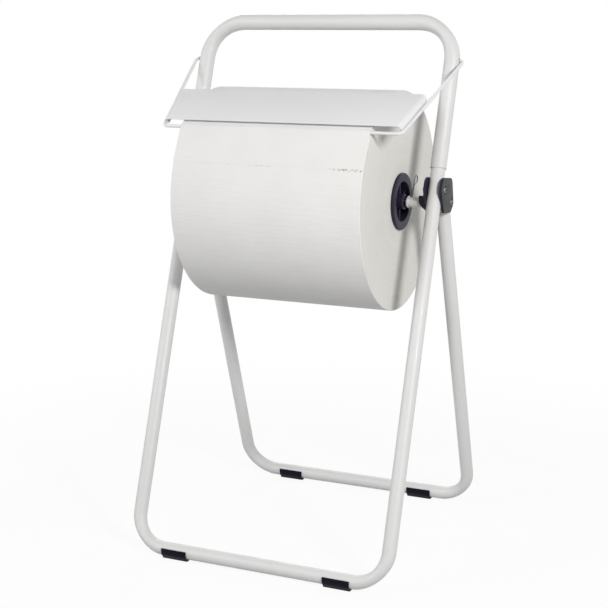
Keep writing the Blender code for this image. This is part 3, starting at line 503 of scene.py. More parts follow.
def weighted(tree, look, **heights):
    parts = [product(tree, value, look[label]) for label, value in heights.items()]
    total = parts[0]
    for part in parts[1:]:
        total = mathNode(tree, "ADD", total, part)
    return total


# On the roll's ends the winding rings take the place of the paper's own tone and relief
def woundEnds(tree, place, normal, look, tone, height):
    centre = addNode(tree, "ShaderNodeMapping", {"Vector": place, "Location": -axle})
    winding = placed(tree, "winding", Vector=centre.outputs["Vector"], Normal=normal, Pitch=look["ringPitch"])
    ringTone = mixed(tree, winding["Bands"], look["endColour"], look["endShade"])
    fine = product(tree, winding["Rings"], look["ringContrast"])
    ringTone = mixed(tree, fine, ringTone, look["ringColour"])
    ringHeight = weighted(tree, look, ringHeight=winding["Rings"], bandHeight=winding["Bands"])
    ends = product(tree, ringHeight, winding["End Face"])
    sheets = product(tree, height, mathNode(tree, "SUBTRACT", 1, winding["End Face"]))
    return mixed(tree, winding["End Face"], tone, ringTone), mathNode(tree, "ADD", sheets, ends)


# Painted shadow along the torn end of the loose sheet: dark specks where the torn edge casts small shadows
def paintedTornShadows(tree, place, look, tone):
    torn = addNode(tree, "ShaderNodeAttribute", attribute_name="tornShadowShare")
    dots = placed(tree, "grain", Vector=place, Scale=look["tornShadowScale"], Broad_Scale=look["broadScale"])
    sharp = threshold(tree, dots["Grain"], look["tornShadowLevel"], look["tornShadowEdge"])
    return mixed(tree, product(tree, sharp, torn.outputs["Fac"]), tone, look["tornShadowColour"])


# Wiping paper: fibres, soft emboss streaks along the roll and winding rings on its ends; on the loose sheet,
# painted shadow specks along the torn end
def wipingPaper(name, look):
    material, tree, place, normal = surface(name)
    fibre, tone, rough = grained(tree, place, look)
    stretch = addNode(tree, "ShaderNodeMapping", {"Vector": place, "Scale": look["streak"]}).outputs["Vector"]
    emboss = placed(tree, "grain", Vector=stretch, Scale=look["embossScale"], Broad_Scale=look["waveScale"])
    height = weighted(tree, look, fibreHeight=fibre, embossHeight=emboss["Grain"], waveHeight=emboss["Broad"])
    if look["rings"]:
        tone, height = woundEnds(tree, place, normal, look, tone, height)
    if look["tornShadows"]:
        tone = paintedTornShadows(tree, place, look, tone)
    return shaded(material, look, tone, rough, height)


plainLook = {"metallic": 0, "coat": 0, "specular": 0.5}
coatLook = {
    **plainLook,
    "coat": 0.05,
    "colour": (0.83, 0.83, 0.845),
    "shade": (0.80, 0.80, 0.815),
    "grainScale": 1500,
    "broadScale": 7,
    "markColour": (0.62, 0.61, 0.58),
    "markScale": 90,
    "markCover": 0.25,
    "markStrength": 0.35,
    "markRough": 0.12,
    "roughLow": 0.42,
    "roughHigh": 0.54,
    "bump": 0.10,
    "bumpDepth": 0.0003,
}
# The frame tubes take a darker copy of the same white coat: painted shade
shadedFrameLook = {**coatLook, "colour": (0.735, 0.735, 0.735), "shade": (0.71, 0.71, 0.71)}
axleLook = {
    **coatLook,
    "colour": (0.76, 0.76, 0.71),
    "shade": (0.70, 0.70, 0.66),
    "markCover": 0.6,
    "markScale": 220,
}
plasticLook = {
    **plainLook,
    "specular": 0.22,
    "colour": (0.018, 0.014, 0.031),
    "shade": (0.023, 0.018, 0.038),
    "grainScale": 2600,
    "broadScale": 30,
    "markColour": (0.10, 0.095, 0.12),
    "markScale": 160,
    "markCover": 0.35,
    "markStrength": 0.5,
    "roughLow": 0.38,
    "roughHigh": 0.56,
    "bump": 0.25,
    "bumpDepth": 0.0002,
}
# Outer cheeks: the lighter grey-green on the flat faces is painted sheen
cheekLook = {**plasticLook, "litFaceColour": (0.020, 0.0235, 0.0225), "markColour": (0.11, 0.115, 0.11)}
# The feet take a far darker copy of the black plastic: painted shade near the floor
shadedFootLook = {
    **plasticLook,
    "specular": 0.09,
    "colour": (0.0045, 0.0036, 0.0095),
    "shade": (0.0062, 0.0050, 0.0130),
    "markColour": (0.05, 0.045, 0.065),
}
zincLook = {
    **plainLook,
    "metallic": 1,
    "colour": (0.70, 0.70, 0.72),
    "shade": (0.56, 0.56, 0.58),
    "streak": (0.15, 1, 1),
    "grainScale": 2200,
    "broadScale": 120,
    "roughLow": 0.16,
    "roughHigh": 0.30,
    "bump": 0.10,
    "bumpDepth": 0.0001,
}
boltLook = {
    **zincLook,
    "colour": (0.16, 0.17, 0.155),
    "shade": (0.11, 0.12, 0.11),
    "roughLow": 0.30,
    "roughHigh": 0.42,
}
chromeLook = {
    **zincLook,
    "colour": (0.80, 0.80, 0.86),
    "shade": (0.70, 0.69, 0.78),
    "roughLow": 0.12,
    "roughHigh": 0.20,
}
clipLook = {**zincLook, "colour": (0.27, 0.27, 0.29), "shade": (0.20, 0.20, 0.22)}
paperLook = {
    **plainLook,
    "specular": 0.25,
    "rings": True,
    "tornShadows": False,
    "colour": (0.86, 0.858, 0.85),
    "shade": (0.83, 0.826, 0.815),
    "endColour": (0.80, 0.795, 0.765),
    "endShade": (0.77, 0.765, 0.73),
    "ringColour": (0.70, 0.695, 0.65),
    # Painted shadow specks along the torn end of the loose sheet
    "tornShadowColour": (0.36, 0.34, 0.24),
    "tornShadowScale": 330,
    "tornShadowLevel": 0.45,
    "tornShadowEdge": 5,
    "streak": (0.12, 1, 1),
    "grainScale": 1300,
    "broadScale": 14,
    "embossScale": 520,
    "waveScale": 190,
    "fibreHeight": 0.25,
    "embossHeight": 0.45,
    "waveHeight": 0.9,
    "ringPitch": 0.0009,
    "ringContrast": 0.18,
    "ringHeight": 0.35,
    "bandHeight": 0.8,
    "roughLow": 0.80,
    "roughHigh": 0.95,
    "bump": 0.35,
    "bumpDepth": 0.0006,
}
sheetLook = {**paperLook, "rings": False, "tornShadows": True}
cardLook = {
    **paperLook,
    "colour": (0.50, 0.38, 0.25),
    "shade": (0.44, 0.33, 0.21),
    "endColour": (0.46, 0.35, 0.23),
    "endShade": (0.38, 0.29, 0.19),
    "ringColour": (0.30, 0.22, 0.14),
}
finishTable = {
    "coat": (powderCoat, "whitePowderCoat", coatLook, "white_coat"),
    "shadedFrameCoat": (powderCoat, "frameWhiteCoatPaintedShade", shadedFrameLook, "white_coat"),
    "axleCoat": (powderCoat, "axleWhiteCoat", axleLook, "white_coat"),
    "plastic": (mouldedPlastic, "blackMouldedPlastic", plasticLook, "black_plastic"),
    "cheek": (mouldedPlastic, "blackCheekPlastic", cheekLook, "black_plastic"),
    "footPlastic": (mouldedPlastic, "blackFootPlasticPaintedShade", shadedFootLook, "black_plastic"),
    "zinc": (platedSteel, "zincPlate", zincLook, "zinc_plate"),
    "bolt": (platedSteel, "darkBoltPlate", boltLook, "zinc_plate"),
    "chrome": (platedSteel, "brightCollarPlate", chromeLook, "zinc_plate"),
    "clipWire": (platedSteel, "springWirePlate", clipLook, "zinc_plate"),
    "paper": (wipingPaper, "wipingPaper", paperLook, "paper"),
    "sheet": (wipingPaper, "wipingSheet", sheetLook, "paper"),
    "card": (wipingPaper, "coreCardboard", cardLook, "cardboard"),
}
finishes = {key: make(name, look) for key, (make, name, look, slot) in finishTable.items()}
print("materials ready:", len(finishes))


def painted(piece, finish):
    piece.data.materials.clear()
    piece.data.materials.append(finishes[finish])


def finished(piece, finish, body, *nodes):
    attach(piece, body)
    if nodes:
        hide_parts(*nodes)
    painted(piece, finish)


# Frames: three U tubes, a little flat in their bends
def uPath(pointAt, legEnd, barLevel, bendRadius):
    toward = 1 if legEnd > barLevel else -1
    path = [(-legX, legEnd, (1, 1))]
    for angle in spaced(0, pi / 2, tube["bendSteps"]):
        bulge = sin(2 * angle) ** 2
        path.append((-legX + bendRadius * (1 - cos(angle)), barLevel + toward * bendRadius * (1 - sin(angle)),
                     (1 - tube["flatten"] * bulge, 1 + tube["widen"] * bulge)))
    path += [(-x, station, scale) for x, station, scale in reversed(path)]
    return [pointAt(x, station) for x, station, scale in path], [scale for x, station, scale in path]


def frameTube(name, pointAt, legEnd, barLevel, out, bendRadius, radius, wall):
    path, squash = uPath(pointAt, legEnd, barLevel, bendRadius)
    piece = linked(name, swept(path, radius, tube["sides"], out, squash, wall))
    return softened(piece, tube["rimRound"], tube["rimSegments"], tube["rimAngle"])


def buildFrames():
    leg = (tube["floorBend"], tube["radius"], tube["wall"])
    sleeve = (tube["handleBend"], tube["handleRadius"], tube["handleWall"])
    front = frameTube("frontTube", frontPoint, sleeveStart + tube["sleeveOverlap"], 0, frontBack, *leg)
    finished(front, "shadedFrameCoat", "stand", "front_lower_frame")
    rear = frameTube("rearTube", rearPoint, rearTop, -rearReach, rearBack, *leg)
    finished(rear, "shadedFrameCoat", "rear_legs", "rear_frame")
    handle = frameTube("handleTube", frontPoint, sleeveStart, handleReach, frontBack, *sleeve)
    for side, label in leftRight:
        drill = rodProfile(0, side * tube["handleRadius"] * 2, tube["hookHole"])
        boolean(handle, turned(drill, tube["holeSides"], hook + Vector((side * legX, 0, 0))))
    finished(handle, "shadedFrameCoat", "stand", "handle_frame")
    print("frames built")


buildFrames()


# Hinge brackets: two cheeks on each leg, the inner one with the cup for the axle.
# The outline's corners are shares of the distance between the bolts: along, across and corner radius.
bracket = {
    "boltRise": 0.0103,
    "gap": 0.0003,
    "outerThickness": 0.0043,
    "innerThickness": 0.0032,
    "outline": ((-0.482, 0.265, 0.48), (-0.352, -0.245, 0.33), (0.411, -0.742, 0.12),
                (1.116, -0.358, 0.19), (1.223, 0.074, 0.22), (0.505, 0.780, 0.28)),
    "cornerSteps": 14,
    "edge": 0.0011,
    "edgeSegments": 4,
    "innerEdge": 0.00066,
    "boltHole": 0.0033,
    "boreRadius": 0.0065,
    "boreDepth": 0.0018,
    "nutPocket": 0.0010,
    "holeSides": 40,
    "axleRadius": 0.0083,
    "cupDepth": 0.0122,
    "cupWall": 0.0038,
    "cupLip": 0.0120,
    "cupSteps": 40,
    "chamferDepth": 0.0095,
    "chamferHeight": 0.0135,
    "overrun": 0.004,
}
pivotStation = (pivot - frontBar).dot(frontUp)
pivotSetback = (pivot - frontBar).dot(frontBack)
boltStation = pivotStation + bracket["boltRise"]
boltSeats = ((boltStation, 0), (pivotStation, pivotSetback))
cheekInner = tube["radius"] + bracket["gap"]
outerFace = cheekInner + bracket["outerThickness"]
innerFace = cheekInner + bracket["innerThickness"]


def cheekPlate(name, near, far):
    back, up = pivotSetback, pivotStation - boltStation
    corners = [(a * back - b * up, boltStation + a * up + b * back) for a, b, share in bracket["outline"]]
    radii = [hypot(back, up) * share for a, b, share in bracket["outline"]]
    outline = roundedOutline(corners, radii, bracket["cornerSteps"])
    return linked(name, extruded(outline, near, far, frontPoint))


def bored(piece, side, face, depth, outward):
    start = outward * (cheekInner - bracket["overrun"])
    floor = outward * (face - depth)
    mouth = outward * (face + bracket["overrun"])
    profile = [(start, 0), (start, bracket["boltHole"]), (floor, bracket["boltHole"]),
               (floor, bracket["boreRadius"]), (mouth, bracket["boreRadius"]), (mouth, 0)]
    for station, setback in boltSeats:
        boolean(piece, turned(profile, bracket["holeSides"], frontPoint(side * legX, station, setback)))


# The cup's U outline about the axle, as (Y, Z)
def cupOutline(radius, top):
    arc = [(radius * cos(a), radius * sin(a)) for a in spaced(pi, 2 * pi, bracket["cupSteps"])]
    return [(-radius, top)] + arc + [(radius, top)]


def aboutAxle(x, z, y):
    return axle + Vector((x, y, z))


def buildBrackets():
    cupReach = bracket["axleRadius"] + bracket["cupWall"]
    cup = cupOutline(cupReach, bracket["cupLip"])
    slot = cupOutline(bracket["axleRadius"], bracket["cupLip"] + bracket["overrun"])
    wide = cupReach + bracket["overrun"]
    top = bracket["chamferHeight"] - cupReach
    low = -wide - bracket["overrun"]
    run = bracket["chamferDepth"] / bracket["chamferHeight"] * (top - low)
    for side, label in leftRight:
        outer = cheekPlate("outerCheek_" + label, side * (legX + cheekInner), side * (legX + outerFace))
        bored(outer, side, outerFace, bracket["boreDepth"], side)
        softened(outer, bracket["edge"], bracket["edgeSegments"])
        finished(outer, "cheek", "stand", "bracket_outer_" + label)

        far = side * (legX - innerFace)
        root = far + side * bracket["innerThickness"] / 2
        mouth = far - side * bracket["cupDepth"]
        past = mouth - side * bracket["overrun"]
        inner = cheekPlate("innerCheek_" + label, side * (legX - cheekInner), far)
        boolean(inner, extruded(cup, root, mouth, aboutAxle), "UNION")
        boolean(inner, extruded(slot, far, past, aboutAxle))
        wedge = [(mouth, top), (mouth + side * run, low), (past, low), (past, top)]
        boolean(inner, extruded(wedge, -wide, wide, lambda y, z, x: aboutAxle(x, z, y)))
        bored(inner, side, innerFace, bracket["nutPocket"], -side)
        finished(softened(inner, bracket["innerEdge"]), "plastic", "stand", "bracket_inner_" + label)
    print("brackets built")


buildBrackets()

bolts = {
    "shank": 0.003,
    "head": 0.00525,
    "headHeight": 0.0034,
    "headLip": 0.0002,
    "dome": radians(58),
    "domeSteps": 10,
    "socketFlats": 0.0038,
    "socketDepth": 0.0020,
    "hexCorners": 6,
    "sides": 40,
    "nutFlats": 0.0100,
    "nutHeight": 0.0048,
    "nutPlay": 0.0001,
    "crownLift": 0.0001,
    "crownHeight": 0.000864,
    "crownShare": 1.01,
    "crownSides": 48,
    "tail": 0.0015,
    "edge": 0.0005,
    "threadPitch": 0.0010,
    "threadDepth": 0.00035,
    "threadPast": 0.00048,
    "overrun": 0.001,
}


# One bolt, along +X, with the leg's axis at X = 0
def boltMesh(nutFace):
    shank = bolts["shank"]
    edge = bolts["edge"]
    seat = bracket["outerThickness"] + cheekInner - bracket["boreDepth"] + bracket["gap"]
    tail = nutFace - bolts["nutHeight"] - bolts["tail"]
    profile = [(tail, 0), (tail, shank - edge)]
    along = tail + edge
    while along < nutFace + bolts["threadPast"] - bolts["threadPitch"]:
        profile += [(along, shank - bolts["threadDepth"]), (along + bolts["threadPitch"] / 2, shank)]
        along += bolts["threadPitch"]
    profile += [(nutFace + edge, shank), (seat, shank), (seat, bolts["head"] - bolts["headLip"])]
    profile += [(seat + bolts["headHeight"] * sin(a), bolts["head"] * cos(a))
                for a in spaced(0, bolts["dome"], bolts["domeSteps"])]
    crown = profile[-1][0]
    bolt = linked("bolt", turned(profile + [(crown, 0)], bolts["sides"]))
    socket = rodProfile(crown - bolts["socketDepth"], seat * 2, bolts["socketFlats"] / sqrt(3))
    boolean(bolt, turned(socket, bolts["hexCorners"]))
    return bolt


def nutMesh(nutFace):
    corner = bolts["nutFlats"] / sqrt(3)
    far = nutFace - bolts["nutHeight"]
    nut = linked("nut", turned(rodProfile(far, nutFace, corner), bolts["hexCorners"]))
    start = far - bolts["crownLift"]
    reach = corner * bolts["crownShare"]
    crown = [(start, 0), (start, bolts["nutFlats"] / 2), (far + bolts["crownHeight"], reach)]
    crown += [(nutFace, reach), (nutFace, 0)]
    boolean(nut, turned(crown, bolts["crownSides"]), "INTERSECT")
    bore = rodProfile(far - bolts["overrun"], nutFace + bolts["overrun"], bolts["shank"] + bolts["nutPlay"])
    boolean(nut, turned(bore, bolts["sides"]))
    return nut


# Sets one shape at every point of a seed mesh, turned as the point's attribute says
def setTree():
    tree, start, end = newTree("setAtSeats", "GeometryNodeTree", (
        ("Shape", "Object"), ("Seats", "Object"), ("Finish", "Material")), ("Geometry",), "Geometry")
    shape = addNode(tree, "GeometryNodeObjectInfo", {"Object": start["Shape"], "As Instance": True})
    seats = addNode(tree, "GeometryNodeObjectInfo", {"Object": start["Seats"]})
    points = addNode(tree, "GeometryNodeMeshToPoints", {"Mesh": seats.outputs["Geometry"]})
    angles = addNode(tree, "GeometryNodeInputNamedAttribute", {"Name": "turn"}, data_type="FLOAT_VECTOR")
    turn = addNode(tree, "FunctionNodeEulerToRotation", {"Euler": angles.outputs["Attribute"]})
    put = addNode(tree, "GeometryNodeInstanceOnPoints", {
        "Points": points.outputs["Points"],
        "Instance": shape.outputs["Geometry"],
        "Rotation": turn.outputs["Rotation"],
    })
    return closeTree(tree, start, end, put.outputs["Instances"])


setAtSeats = setTree()


def repeated(name, shape, seats, finish, body, *nodes):
    mesh = bpy.data.meshes.new(name)
    mesh.from_pydata([spot for spot, turn in seats], [], [])
    attribute = mesh.attributes.new("turn", "FLOAT_VECTOR", "POINT")
    for index, (spot, turn) in enumerate(seats):
        attribute.data[index].vector = turn
    points = linked(name + "Seats", mesh)
    piece = grown(name, setAtSeats, {"Shape": shape, "Seats": points, "Finish": finishes[finish]})
    bpy.data.objects.remove(points)
    bpy.data.objects.remove(shape)
    finished(piece, finish, body, *nodes)


def bothSides(*names):
    return [name + "_" + label for name in names for side, label in leftRight]


def buildBolts():
    seats = [(frontPoint(side * legX, station, setback), (0, 0, 0 if side > 0 else pi))
             for side, label in leftRight for station, setback in boltSeats]
    nutFace = -(innerFace - bracket["nutPocket"] + bracket["gap"])
    bolt = boltMesh(nutFace)
    nut = nutMesh(nutFace)
    repeated("bracketNuts", nut, seats, "zinc", "stand", *bothSides("frame_nut", "pivot_nut"))
    repeated("bracketBolts", bolt, seats, "bolt", "stand", *bothSides("frame_bolt", "pivot_bolt"))
    print("bolts built")


buildBolts()

# Sleeve screws behind the legs
screws = {
    "head": 0.00425,
    "headHeight": 0.0024,
    "headLip": 0.0002,
    "domeSteps": 8,
    "domeShare": 0.62,
    "sides": 40,
    "shank": 0.0021,
    "length": 0.009,
    "crossWidth": 0.0009,
    "crossReach": 0.0024,
    "crossDepth": 0.0012,
    "gap": 0.0003,
}


def buildSleeveScrews():
    head, height, shank = screws["head"], screws["headHeight"], screws["shank"]
    tail = -screws["length"]
    profile = [(tail, 0), (tail + shank, shank), (0, shank), (0, head - screws["headLip"])]
    profile += [(height * sin(a), head * (1 - screws["domeShare"] * (1 - cos(a))))
                for a in spaced(0, pi / 2, screws["domeSteps"])]
    screw = linked("screw", turned(profile + [(height, 0)], screws["sides"]))
    size = Matrix.Diagonal((screws["crossDepth"] * 2, screws["crossWidth"], screws["crossReach"] * 2, 1))
    for angle in (0, pi / 2):
        cross = bmesh.new()
        place = Matrix.Translation((height, 0, 0)) @ Matrix.Rotation(angle, 4, "X")
        bmesh.ops.create_cube(cross, size=1, matrix=place @ size)
        boolean(screw, finishMesh(cross))
    station = sleeveStart + tube["sleeveOverlap"] / 2
    turn = (Matrix.Rotation(-lean, 3, "X") @ Matrix.Rotation(pi / 2, 3, "Z")).to_euler()
    setback = tube["handleRadius"] + screws["gap"]
    seats = [(frontPoint(side * legX, station, setback), turn) for side, label in leftRight]
    repeated("sleeveScrews", screw, seats, "zinc", "stand", *bothSides("sleeve_screw"))
    print("sleeve screws built")


buildSleeveScrews()

# Clip-on feet
foot = {
    "gap": 0.0003,
    "wall": 0.0018,
    "sole": 0.0022,
    "soleWidth": 0.013,
    "wrap": radians(112),
    "flank": radians(48),
    "steps": 40,
    "flankSteps": 12,
    "edge": 0.0005,
}


def footOutline():
    inner = tube["radius"] + foot["gap"]
    outer = inner + foot["wall"]
    bore = [(inner * sin(a), -inner * cos(a)) for a in spaced(foot["wrap"], -foot["wrap"], foot["steps"])]
    left = [(-outer * cos(a), outer * sin(a))
            for a in spaced(foot["wrap"] - pi / 2, -foot["flank"], foot["flankSteps"])]
    left.append((-foot["soleWidth"] / 2, -inner - foot["sole"]))
    return bore + left + [(-y, z) for y, z in reversed(left)]


def buildFeet():
    for end, bar, body in (("front", frontBar, "stand"), ("rear", rearBar, "rear_legs")):
        for side, label in leftRight:
            node = end + "_foot_" + label
            low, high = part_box(node)
            shape = extruded(footOutline(), low.x, high.x, lambda x, z, y: Vector((x, bar.y + y, bar.z + z)))
            piece = softened(linked(end + "Foot_" + label, shape), foot["edge"])
            finished(piece, "footPlastic", body, node)
    print("feet built")


buildFeet()

# Roll and core
roll = {
    "edge": 0.0016,
    "edgeSteps": 6,
    "sides": 224,
    "endRings": 44,
    "endWander": 0.00028,
    "wanderPaces": (1.7, 0.61),
    "seed": 7,
    "coreRadius": 0.039,
    "coreWall": 0.004,
    "coreEdge": 0.0004,
    "coreSides": 96,
    "gap": 0.0003,
}
lowPaper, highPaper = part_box("paper_roll")
rollRadius = (highPaper.z - lowPaper.z) / 2
rollHalf = (highPaper.x - lowPaper.x) / 2
rollMiddle = (highPaper.x + lowPaper.x) / 2
rollCentre = axle + Vector((rollMiddle, 0, 0))


# How far a layer of paper stands back on the roll's ends, from 0 to 1
def layerWander(index):
    waves = [sin(index * pace + count * roll["seed"]) for count, pace in enumerate(roll["wanderPaces"], 1)]
    return 0.5 + sum(waves) / 4


def buildRoll():
    edge = roll["edge"]
    radii = spaced(roll["coreRadius"] + roll["gap"], rollRadius - edge, roll["endRings"])
    near = [(rollHalf - roll["endWander"] * layerWander(k), r) for k, r in enumerate(radii)]
    near += [(rollHalf - edge * (1 - cos(a)), rollRadius - edge * (1 - sin(a)))
             for a in spaced(0, pi / 2, roll["edgeSteps"])[1:]]
    profile = near + [(-x, r) for x, r in reversed(near)]
    finished(linked("paperRoll", turned(profile, roll["sides"], rollCentre)), "paper", "roll", "paper_roll")
    profile = pipeProfile(-rollHalf, rollHalf, roll["coreRadius"] - roll["coreWall"], roll["coreRadius"])
    core = softened(linked("coreTube", turned(profile, roll["coreSides"], rollCentre)), roll["coreEdge"], 2)
    finished(core, "card", "roll", "cardboard_core")
    print("roll built")


buildRoll()

flange = {
    "radius": 0.045,
    "thickness": 0.0048,
    "edge": 0.0018,
    "mouthBevel": 0.0010,
    "depth": 0.034,
    "wall": 0.0026,
    "web": 0.0026,
    "webInset": 0.0175,
    "taper": 0.985,
    "hub": 0.0120,
    "bore": 0.0083,
    "tail": 0.006,
    "hubProud": 0.0024,
    "small": 0.0006,
    "ribs": 6,
    "ribThickness": 0.0024,
    "ribInset": 0.0055,
    "sides": 112,
    "edgeSteps": 8,
}


# Ribs: one box set round the hub of each flange
def ribTree():
    tree, start, end = newTree("flangeRibTree", "GeometryNodeTree", (
        ("Count", "Int"), ("Thickness", "Float"), ("Length", "Float"), ("Height", "Float"),
        ("Radius", "Float"), ("Left", "Vector"), ("Right", "Vector"), ("Finish", "Material")),
        ("Geometry",), "Geometry")
    size = addNode(tree, "ShaderNodeCombineXYZ", {
        "X": start["Height"], "Y": start["Thickness"], "Z": start["Length"]})
    box = addNode(tree, "GeometryNodeMeshCube", {"Size": size.outputs[0]})
    offset = addNode(tree, "ShaderNodeCombineXYZ", {"Z": start["Radius"]})
    lifted = addNode(tree, "GeometryNodeTransform", {
        "Geometry": box.outputs["Mesh"], "Translation": offset.outputs[0]})
    points = addNode(tree, "GeometryNodePoints", {"Count": start["Count"]})
    index = addNode(tree, "GeometryNodeInputIndex")
    step = mathNode(tree, "DIVIDE", 2 * pi, start["Count"])
    turn = addNode(tree, "ShaderNodeCombineXYZ", {"X": product(tree, index.outputs[0], step)})
    put = addNode(tree, "GeometryNodeInstanceOnPoints", {
        "Points": points.outputs[0], "Instance": lifted.outputs[0], "Rotation": turn.outputs[0]})
    both = addNode(tree, "GeometryNodeJoinGeometry")
    for label in ("Left", "Right"):
        place = {"Geometry": put.outputs[0], "Translation": start[label]}
        tree.links.new(addNode(tree, "GeometryNodeTransform", place).outputs[0], both.inputs[0])
    return closeTree(tree, start, end, both.outputs[0])


def buildFlanges():
    rim = flange["radius"]
    spigot = roll["coreRadius"] - roll["coreWall"] - roll["gap"]
    tip = spigot * flange["taper"]
    mouth = tip - flange["wall"]
    hub = flange["hub"]
    face = flange["thickness"]
    webOut = face - flange["webInset"]
    webIn = webOut - flange["web"]
    edge = flange["edge"]
    small = flange["small"]
    hubFace = face + flange["hubProud"]
    hubTail = webIn - flange["tail"]
    rounding = [(face - edge * (1 - sin(a)), rim - edge * (1 - cos(a)))
                for a in spaced(0, pi / 2, flange["edgeSteps"])]
    profile = [(hubFace, flange["bore"]), (hubFace, hub - small), (hubFace - small, hub), (webOut, hub),
               (webOut, mouth), (face - flange["mouthBevel"], mouth), (face, mouth + flange["mouthBevel"])]
    profile += rounding[::-1] + [(roll["gap"], rim), (roll["gap"], spigot), (-flange["depth"], tip)]
    profile += [(-flange["depth"], mouth), (webIn, mouth), (webIn, hub), (hubTail, hub - small),
                (hubTail, flange["bore"])]
    for side, label in leftRight:
        centre = axle + Vector((rollMiddle + side * rollHalf, 0, 0))
        shape = turned([(side * x, r) for x, r in profile], flange["sides"], centre)
        finished(linked("coreFlange_" + label, shape), "plastic", "roll", "core_flange_" + label)
    height = flange["webInset"] - flange["ribInset"]
    middle = webOut + height / 2
    ribs = grown("flangeRibs", ribTree(), {
        "Count": flange["ribs"],
        "Thickness": flange["ribThickness"],
        "Length": mouth - hub + 2 * small,
        "Height": height,
        "Radius": (mouth + hub) / 2,
        "Left": axle + Vector((rollMiddle - rollHalf - middle, 0, 0)),
        "Right": axle + Vector((rollMiddle + rollHalf + middle, 0, 0)),
        "Finish": finishes["plastic"],
    })
    finished(ribs, "plastic", "roll")
    print("flanges built")


buildFlanges()

# Axle, collars and clips
rod = {
    "radius": 0.008,
    "wall": 0.0015,
    "collarFit": 0.0003,
    "collarWall": 0.0013,
    "edge": 0.0004,
    "sides": 64,
}
clip = {
    "wire": 0.0009,
    "length": 0.0485,
    "loop": 0.0060,
    "tail": 0.0050,
    "pinch": 0.0021,
    "lean": radians(29),
    "loopTurn": radians(225),
    "hugStart": radians(69),
    "hugEnd": radians(-36),
    "loopSteps": 28,
    "hugSteps": 18,
    "sides": 14,
    "gap": 0.0003,
}


def clipPath(centre):
    wire, loop = clip["wire"], clip["loop"]
    hug = rod["radius"] + wire + clip["gap"]
    top = clip["length"] - loop - wire
    path = [(0, -rod["radius"] - clip["tail"]), (0, top)]
    path += [(loop + loop * cos(a), top + loop * sin(a))
             for a in spaced(pi, pi - clip["loopTurn"], clip["loopSteps"])[1:]]
    path.append((clip["pinch"] + wire, top - 2 * loop))
    path += [(hug * cos(a), hug * sin(a)) for a in spaced(clip["hugStart"], clip["hugEnd"], clip["hugSteps"])]
    path.append((hug + 2 * wire, -hug))
    turn = Matrix.Rotation(-clip["lean"], 3, "X")
    return [centre + turn @ Vector((0, y, z)) for y, z in path]


def pipe(name, node, inner, outer):
    low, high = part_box(node)
    return linked(name, turned(pipeProfile(low.x, high.x, inner, outer), rod["sides"], axle))


def buildAxle():
    tubePiece = pipe("axleTube", "axle_tube", rod["radius"] - rod["wall"], rod["radius"])
    finished(tubePiece, "axleCoat", "stand", "axle_tube")
    inner = rod["radius"] + rod["collarFit"]
    for side, label in leftRight:
        collar = pipe("axleCollar_" + label, "collar_" + label, inner, inner + rod["collarWall"])
        finished(softened(collar, rod["edge"]), "chrome", "stand", "collar_" + label)
        low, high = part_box("spring_clip_" + label)
        path = clipPath(Vector(((low.x + high.x) / 2, axle.y, axle.z)))
        wire = linked("springClip_" + label, swept(path, clip["wire"], clip["sides"], Vector((1, 0, 0))))
        finished(wire, "clipWire", "stand", "spring_clip_" + label)
    print("axle built")


buildAxle()

# Tear bar: bent wire, sheet-metal plate and the sheet of paper between them
bail = {
    "wire": 0.0026,
    "gap": 0.0003,
    "standOff": 0.0070,
    "frontInset": 0.01725,
    "rack": 0.00375,
    "tuck": 0.0095,
    "hookRadius": 0.0085,
    "cornerRadius": 0.0090,
    "endRound": 0.0004,
    "steps": 14,
    "sides": 28,
    "reach": 0.2129,
}
plate = {
    "gauge": 0.0012,
    "frontInset": 0.0051,
    "frontRise": 0.0098,
    "rearInset": 0.0899,
    "rollClearance": 0.0027,
    "sideInset": 0.0022,
    "sideRadius": 0.0085,
    "curl": radians(150),
    "frontCut": 0.6,
    "bendSteps": 22,
    "edge": 0.00035,
}
hookX = legX + tube["handleRadius"] + bail["standOff"]
bailFrontX = legX - bail["frontInset"]
wireTop = bail["wire"] + bail["gap"]


# The tilt at which the wire's crossbar rests on the roll
def bailTilt():
    rest = rollRadius + wireTop
    span = hypot(hook.y - axle.y, hook.z - axle.z)
    along = (rest ** 2 - bail["reach"] ** 2 + span ** 2) / (2 * span)
    across = sqrt(rest ** 2 - along ** 2)
    unit = ((hook.y - axle.y) / span, (hook.z - axle.z) / span)
    wireY = axle.y + along * unit[0] - across * unit[1]
    wireZ = axle.z + along * unit[1] + across * unit[0]
    return atan2(hook.z - wireZ, hook.y - wireY)


tilt = bailTilt()
bailTurn = Matrix.Rotation(tilt, 3, "X")


def bailPoint(x, behind, above):
    return hook + bailTurn @ Vector((x, behind - bail["reach"], above))


def bailEdge(side, inset):
    share = inset / bail["reach"]
    return side * (bailFrontX + (hookX - bailFrontX) * share) + bail["rack"] * (1 - share)


def buildWire():
    tipX = legX + tube["handleRadius"] - bail["tuck"]
    reach = bail["reach"]
    right = [bailPoint(tipX, reach, 0), bailPoint(hookX, reach, 0), bailPoint(bailEdge(1, 0), 0, 0)]
    left = [bailPoint(bailEdge(-1, 0), 0, 0), bailPoint(-hookX, reach, 0), bailPoint(-tipX, reach, 0)]
    radii = (bail["hookRadius"], bail["cornerRadius"], bail["cornerRadius"], bail["hookRadius"])
    path = filleted(right + left, radii, bail["steps"])
    wire = linked("tearWire", swept(path, bail["wire"], bail["sides"]))
    softened(wire, bail["endRound"], tube["rimSegments"], tube["rimAngle"])
    finished(wire, "coat", "tear_bar", "tear_bar_wire")


